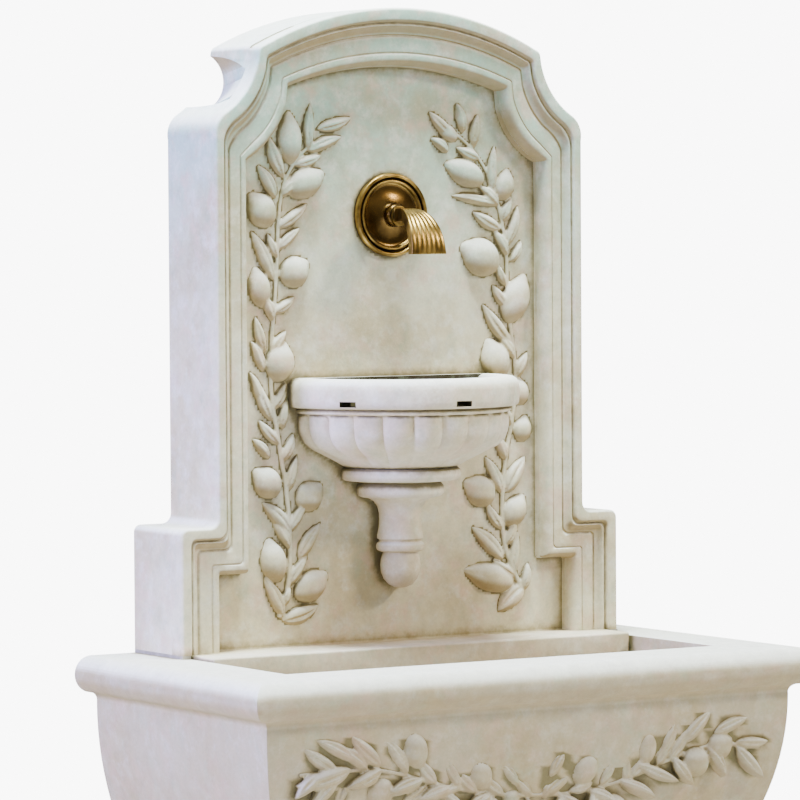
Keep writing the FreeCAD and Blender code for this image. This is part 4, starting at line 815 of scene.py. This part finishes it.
GARLAND_STEM = [
    (-391, 310), (-327, 311), (-270, 312), (-211, 297), (-143, 275), (-73, 260), (-1, 253),
    (64, 251), (124, 257), (183, 271), (242, 293), (294, 307), (348, 307), (394, 296)]
GARLAND_MIDDLE = 6  # the stem's point where both branches start
garland_leaves = GARLAND_LEAVES
for run in (GARLAND_STEM[GARLAND_MIDDLE::-1], GARLAND_STEM[GARLAND_MIDDLE:]):
    garland_leaves = filled(run, garland_leaves, GARLAND_LEMONS, pitch=24, length=62, breadth=21,
                            clear=21, edge=400)
garland_parts = [twig([(x, belly(z) + 0.5, z) for x, z in GARLAND_STEM], 3.5, 3.5)]
for x, z, x2, z2, breadth in GARLAND_LEMONS:
    garland_parts.append(laid(lemon, (x, z), (x2, z2), belly(z) + 1, breadth, breadth * 0.8, 0,
                              -slope((z + z2) / 2)))
for number, (x, z, x2, z2, breadth) in enumerate(garland_leaves):
    garland_parts.append(laid(leaves[number % 2], (x, z), (x2, z2), belly(z), breadth, LEAF_HEIGHT,
                              LEAF_LEANS[number % 2], -slope((z + z2) / 2)))
garland = carve("basin_garland", garland_parts)
set_in(garland, "cast_stone", basin_stone)
for blank in (*leaves, lemon):
    bpy.data.objects.remove(blank)

# Half bowl and its corbel
# A cast half bowl with lobed sides under a plain bullnosed rim, slotted for its overflow and set
# against the field on two dowels, and the turned corbel that fills the angle below it.
BOWL_AXIS = 136  # the y of its axis in mm
BACK_WALL = 24
LOBES = 22
LOBE_TOP, LOBE_FOOT, LOBE_DEPTH, LOBE_RADIUS = 0.7885, 0.705, 0.0085, 0.163  # in metres
SLOT_ANGLES = (-57, 0, 57)
# radius and height in mm
RIM_SECTION = [
    (0, 788), (158, 788), (162.5, 788.5), (165.5, 790.5), (165.5, 794), (163.5, 796),
    (163.5, 797.5), (171, 797.5), (175.5, 799), (177.6, 802.5), (178, 808), (178, 824), (177, 831),
    (174, 836.5), (169, 840), (163, 841), (0, 841)]
BODY_SECTION = [
    (0, 707), (40, 707), (84, 707), (92, 711), (101, 716), (112, 721.5), (125, 728), (137, 733.5),
    (147, 739), (154, 745.5), (158.5, 752), (161.5, 760), (163, 768), (163, 776), (162.6, 783),
    (161, 787), (158, 789), (120, 790), (0, 790)]
CAVITY_SECTION = [
    (0, 747), (60, 747), (90, 749), (112, 756), (127, 768), (136, 782), (140, 797), (140, 820),
    (140.5, 832), (142, 837), (146, 840), (152, 841.2), (152, 880), (0, 880)]
CORBEL_SECTION = [
    (0, 527), (9, 528), (18, 532.5), (25, 540.5), (29, 551), (30, 561), (29, 570), (27, 577),
    (26, 581), (30, 581.5), (34.5, 583.5), (36, 587), (36, 590.5), (34.5, 594), (31.5, 596.5),
    (31.5, 598.5), (34.5, 601), (34, 606), (32, 616), (31, 628), (31.5, 638), (34, 648),
    (39, 655.5), (46, 660), (52, 662), (58, 662.5), (63, 664.5), (65.6, 668.5), (66, 674),
    (65, 679), (62, 682.5), (60, 684.5), (60, 687), (80, 687), (86.5, 688.2), (90, 691.5),
    (91, 697), (90, 702.5), (86.5, 706), (80, 707), (0, 707)]


def spun(name, corners, sides, centre, axis, angle=40):
    """A piece turned about an axis from the corners of its section."""
    piece = draw(name, corners)
    edit_whole(piece)
    bpy.ops.mesh.spin(steps=sides, angle=math.tau, center=centre, axis=axis)
    leave()
    close_up(piece, angle)
    return piece


def turned(name, section, sides):
    """A piece turned about the bowl's upright axis from a section of (radius, height) in mm."""
    corners = [Vector((r * MM, BOWL_AXIS * MM, z * MM)) for r, z in section]
    return spun(name, corners, sides, (0, BOWL_AXIS * MM, 0), (0, 0, 1))


def combine(piece, tool, how):
    """Cuts one piece out of another, or joins them, and throws the tool away."""
    finish_with(piece, "BOOLEAN", operation=how, object=tool, solver="EXACT")
    bpy.data.objects.remove(tool)


bowl = turned("half_bowl", BODY_SECTION, LOBES * 10)
for vertex in bowl.data.vertices:
    away, aside = vertex.co.y - BOWL_AXIS * MM, vertex.co.x
    reach, angle = math.hypot(away, aside), math.atan2(away, aside)
    if reach > 0.08 and vertex.co.z < LOBE_TOP:
        share = abs(math.sin(angle * LOBES / 2))
        fade = min((LOBE_TOP - vertex.co.z) / 0.007, 1) ** 0.5
        foot = min(max((vertex.co.z - LOBE_FOOT) / 0.018, 0.25), 1)
        cut = LOBE_DEPTH * (1 - share ** 0.62) * fade * foot * reach / LOBE_RADIUS
        vertex.co.x *= (reach - cut) / reach
        vertex.co.y = BOWL_AXIS * MM + away * (reach - cut) / reach
trim(bowl, FIELD)
rim = turned("bowl_rim", RIM_SECTION, 176)
trim(rim, FIELD)
combine(bowl, rim, "UNION")
cavity = turned("bowl_cavity", CAVITY_SECTION, 96)
trim(cavity, FIELD - BACK_WALL)
combine(bowl, cavity, "DIFFERENCE")
for angle in SLOT_ANGLES:
    bpy.ops.object.select_all(action="DESELECT")
    bpy.ops.mesh.primitive_cube_add(size=1)
    slot = bpy.context.active_object
    edit(slot)
    bpy.ops.transform.resize(value=(0.026, 0.060, 0.008))
    bpy.ops.transform.translate(value=(0, -0.160, 0.805))
    bpy.ops.transform.rotate(value=math.radians(-angle), orient_axis="Z", center_override=(0, 0, 0))
    bpy.ops.transform.translate(value=(0, BOWL_AXIS * MM, 0))
    leave()
    combine(bowl, slot, "DIFFERENCE")
smooth(bowl, 38)
bowl_stone = cast_stone("bowl_stone", cream=(0.81, 0.75, 0.63), ochre=(0.56, 0.43, 0.24),
                        wash=(0.88, 0.86, 0.80), blush=(0.80, 0.60, 0.50), underside_shade_share=0.3)
# near-black stone for the cavity and slots: painted shade, and also the water's stain
shade_and_stain_stone = cast_stone("cavity_shade_and_water_stain", cream=(0.06, 0.052, 0.03),
                         ochre=(0.05, 0.042, 0.02), wash=(0.09, 0.085, 0.06),
                         blush=(0.07, 0.05, 0.03), top_highlight_share=0)
set_in(bowl, "cast_stone", bowl_stone, "bowl")
bowl.data.materials.append(shade_and_stain_stone)
for face in bowl.data.polygons:  # near-black painted shade in the cavity and the slots, standing also for the water's stain
    x, y, z = (value / MM for value in face.center)
    reach = math.hypot(x, y - BOWL_AXIS)
    wet_and_shaded = reach < 140.3 and 746 < z < 826 and y < FIELD - BACK_WALL + 0.5
    slotted = 139 < reach < 170 and 800.9 < z < 809.1 and y < FIELD - BACK_WALL
    face.material_index = int(wet_and_shaded or slotted)
corbel = turned("turned_corbel", CORBEL_SECTION, 96)
trim(corbel, FIELD)
smooth(corbel, 38)
set_in(corbel, "cast_stone", bowl_stone, "bowl_corbel")

# Spout
# A spun brass rosette with two raised beads round a dished face, a ball at its middle, and a ridged
# lip that bends down over the bowl. Both have aged nearly black in their hollows.
SPOUT_LEVEL = 1079  # the height of the rosette's middle in mm
# radius and y in mm
ROSETTE_SECTION = [
    (0, 160), (62.0, 160), (62.4, 157.5), (62.4, 154.5), (61.4, 151.8), (59.6, 150.3),
    (57.6, 150.1), (56.0, 151.2), (55.2, 153.4), (54.8, 155.6), (53.6, 156.2), (52.8, 154.8),
    (52.0, 152.4), (50.6, 151.2), (49.2, 151.4), (48.2, 152.8), (47.6, 155.2), (46.0, 156.8),
    (42, 157.4), (36, 157.2), (30, 156.0), (25, 154.2), (21.0, 152.6), (18.2, 151.2), (17.0, 150.4),
    (16.6, 149.2), (17.4, 147.4), (18.0, 144.0), (17.4, 140.4), (15.6, 136.8), (12.6, 133.8),
    (8.6, 131.8), (4.4, 130.9), (0, 130.6)]


def aged_metal(name, bright, dull, dark, roughness):
    """Old cast metal: bright where rubbed, dull over its flats and nearly black in its hollows."""
    made, nodes, links, finish = node_tree(name)
    place = nodes.new("ShaderNodeTexCoord").outputs["Object"]
    mottle = ramp(nodes, links, cloud(nodes, links, place, 0.03, 4, 0.5), 0.34, 0.70)
    colour = blend(nodes, links, mottle, dull, bright)
    crumbs = cloud(nodes, links, place, 0.009, 5, 0.6, (2.3, 1.1, 4.2))
    ragged = sheltered(nodes, links, crumbs, 0.4)
    dirt = ramp(nodes, links, ragged, 0.30, 0.66)
    links.new(layer(nodes, links, colour, dirt, 0.94, dark), finish.inputs["Base Color"])
    gloss = scaled(nodes, links, dirt, (0, 1), (roughness, roughness + 0.25))
    links.new(gloss, finish.inputs["Roughness"])
    finish.inputs["Metallic"].default_value = 1.0
    grain = relief(nodes, links, cloud(nodes, links, place, 0.004, 4, 0.55), 0.35, 0.0004)
    links.new(grain.outputs["Normal"], finish.inputs["Normal"])
    return made


aged_brass = aged_metal("aged_brass", bright=(0.46, 0.30, 0.085), dull=(0.13, 0.078, 0.020),
                        dark=(0.022, 0.012, 0.003), roughness=0.34)
tarnished_brass = aged_metal("tarnished_brass", bright=(0.17, 0.098, 0.028),
                             dull=(0.060, 0.034, 0.010), dark=(0.012, 0.007, 0.002),
                             roughness=0.27)
rosette_corners = [Vector((r * MM, y * MM, SPOUT_LEVEL * MM)) for r, y in ROSETTE_SECTION]
rosette = spun("brass_rosette", rosette_corners, 112, (0, 0, SPOUT_LEVEL * MM), (0, 1, 0), 50)
set_in(rosette, "aged_brass", aged_brass, "spout_rosette")
rosette.data.materials.append(tarnished_brass)
for face in rosette.data.polygons:  # the dished face within the inner bead is never rubbed
    face.material_index = int(math.hypot(face.center.x, face.center.z - SPOUT_LEVEL * MM) < 0.0466)
LIP_BEND, LIP_STRETCH = 1.095, 0.10
lip = from_cad("spout_lip", "brass_lip")
for vertex in lip.data.vertices:
    vertex.co.z -= LIP_STRETCH * max(LIP_BEND - vertex.co.z, 0)
soften(lip, 0.0006, 2)
grid_cut(lip, 0.006)
set_in(lip, "aged_brass", aged_brass, "spout_lip")

# Hidden fittings
# The mortar bed, the steel and brass fixings, the hose with its clips, and the small plastic pump
# behind the ledge block. They keep their CAD shapes and get plain made finishes.


def plain(name, colour, roughness, metal=0.0, grain=0.002, depth=0.0002, wear=0.12):
    """A plain made surface with a fine grain and slight cloudy variation in colour and gloss."""
    made, nodes, links, finish = node_tree(name)
    place = nodes.new("ShaderNodeTexCoord").outputs["Object"]
    mottle = ramp(nodes, links, cloud(nodes, links, place, 0.02, 5, 0.6), 0.35, 0.7)
    dark = tuple(c * (1 - wear * 2) for c in colour)
    links.new(blend(nodes, links, mottle, dark, colour), finish.inputs["Base Color"])
    gloss = scaled(nodes, links, cloud(nodes, links, place, 0.006, 4, 0.6), (0, 1),
                   (max(roughness - 0.08, 0.05), min(roughness + 0.1, 1)))
    links.new(gloss, finish.inputs["Roughness"])
    finish.inputs["Metallic"].default_value = metal
    skin = relief(nodes, links, cloud(nodes, links, place, grain, 3, 0.5), 0.4, depth)
    links.new(skin.outputs["Normal"], finish.inputs["Normal"])
    return made


def finish_node(node, paint):
    """Puts a material on a CAD node that stays as it is."""
    data = frame["nodes"][node].data
    if not data.materials:
        data.materials.append(paint)
    for number in range(len(data.materials)):
        data.materials[number] = paint


PAINTS = {
    "mortar": plain("grey_mortar", (0.42, 0.39, 0.33), 0.9, depth=0.0006, wear=0.15),
    "bright_brass": plain("bright_brass", (0.66, 0.48, 0.20), 0.3, metal=1.0),
    "black_rubber": plain("black_rubber", (0.03, 0.03, 0.03), 0.75),
    "black_hose": plain("black_hose", (0.025, 0.025, 0.028), 0.45),
    "stainless_steel": plain("stainless_steel", (0.58, 0.58, 0.59), 0.28, metal=1.0, grain=0.001),
    "zinc_plated_steel": plain("zinc_plated_steel", (0.50, 0.52, 0.54), 0.45, metal=1.0,
                               grain=0.004),
    "black_plastic": plain("black_plastic", (0.035, 0.035, 0.038), 0.5),
    "grey_plastic": plain("grey_plastic", (0.25, 0.26, 0.27), 0.5),
    "white_plastic": plain("white_plastic", (0.72, 0.72, 0.70), 0.45),
}
for part in frame["record"]["subparts"]:
    if part["material_slot"] in PAINTS:
        finish_node(part["node"], PAINTS[part["material_slot"]])

# Weathering and painted hollow shade
# Each corner of the mesh looks about itself, and what share of its near surroundings is blocked is
# kept for the finishes to read. The stone lays it on as dirt and painted shade, the brass as dark
# patina.
GOLDEN_ANGLE = 2.39996


def surroundings(pieces):
    """All faces of some pieces in one tree that rays can be sent at."""
    corners, faces = [], []
    for piece in pieces:
        start = len(corners)
        corners += [vertex.co.copy() for vertex in piece.data.vertices]
        faces += [[start + corner for corner in face.vertices] for face in piece.data.polygons]
    return BVHTree.FromPolygons(corners, faces)


def gather_hollowness(piece, around, reach, looks, share=1):
    """Keeps with each corner of a piece how much is blocked within reach, most by what is near."""
    ways = []
    for number in range(looks):
        out, round_by = math.sqrt((number + 0.5) / looks), number * GOLDEN_ANGLE
        ways.append(Vector((out * math.cos(round_by), out * math.sin(round_by),
                            math.sqrt(1 - out * out))))
    kept = piece.data.attributes.new("hollow", "FLOAT", "POINT").data
    for corner in piece.data.vertices:
        face_out = corner.normal.to_track_quat("Z", "Y").to_matrix()
        start, blocked = corner.co + corner.normal * 0.0007, 0
        for way in ways:
            far = around.ray_cast(start, face_out @ way, reach)[3]
            if far is not None:
                blocked += 1 - 0.7 * far / reach
        kept[corner.index].value = share * blocked / looks


STONES = (basin, ledge, border, field, left_branch, right_branch, garland, bowl, corbel)
near_stone = surroundings((*STONES, panel, rosette))
for piece in STONES:
    gather_hollowness(piece, near_stone, reach=0.032, looks=12, share=0.55 if piece is border else 1)
near_brass = surroundings((rosette, lip, field))
for piece in (rosette, lip):
    gather_hollowness(piece, near_brass, reach=0.016, looks=16)
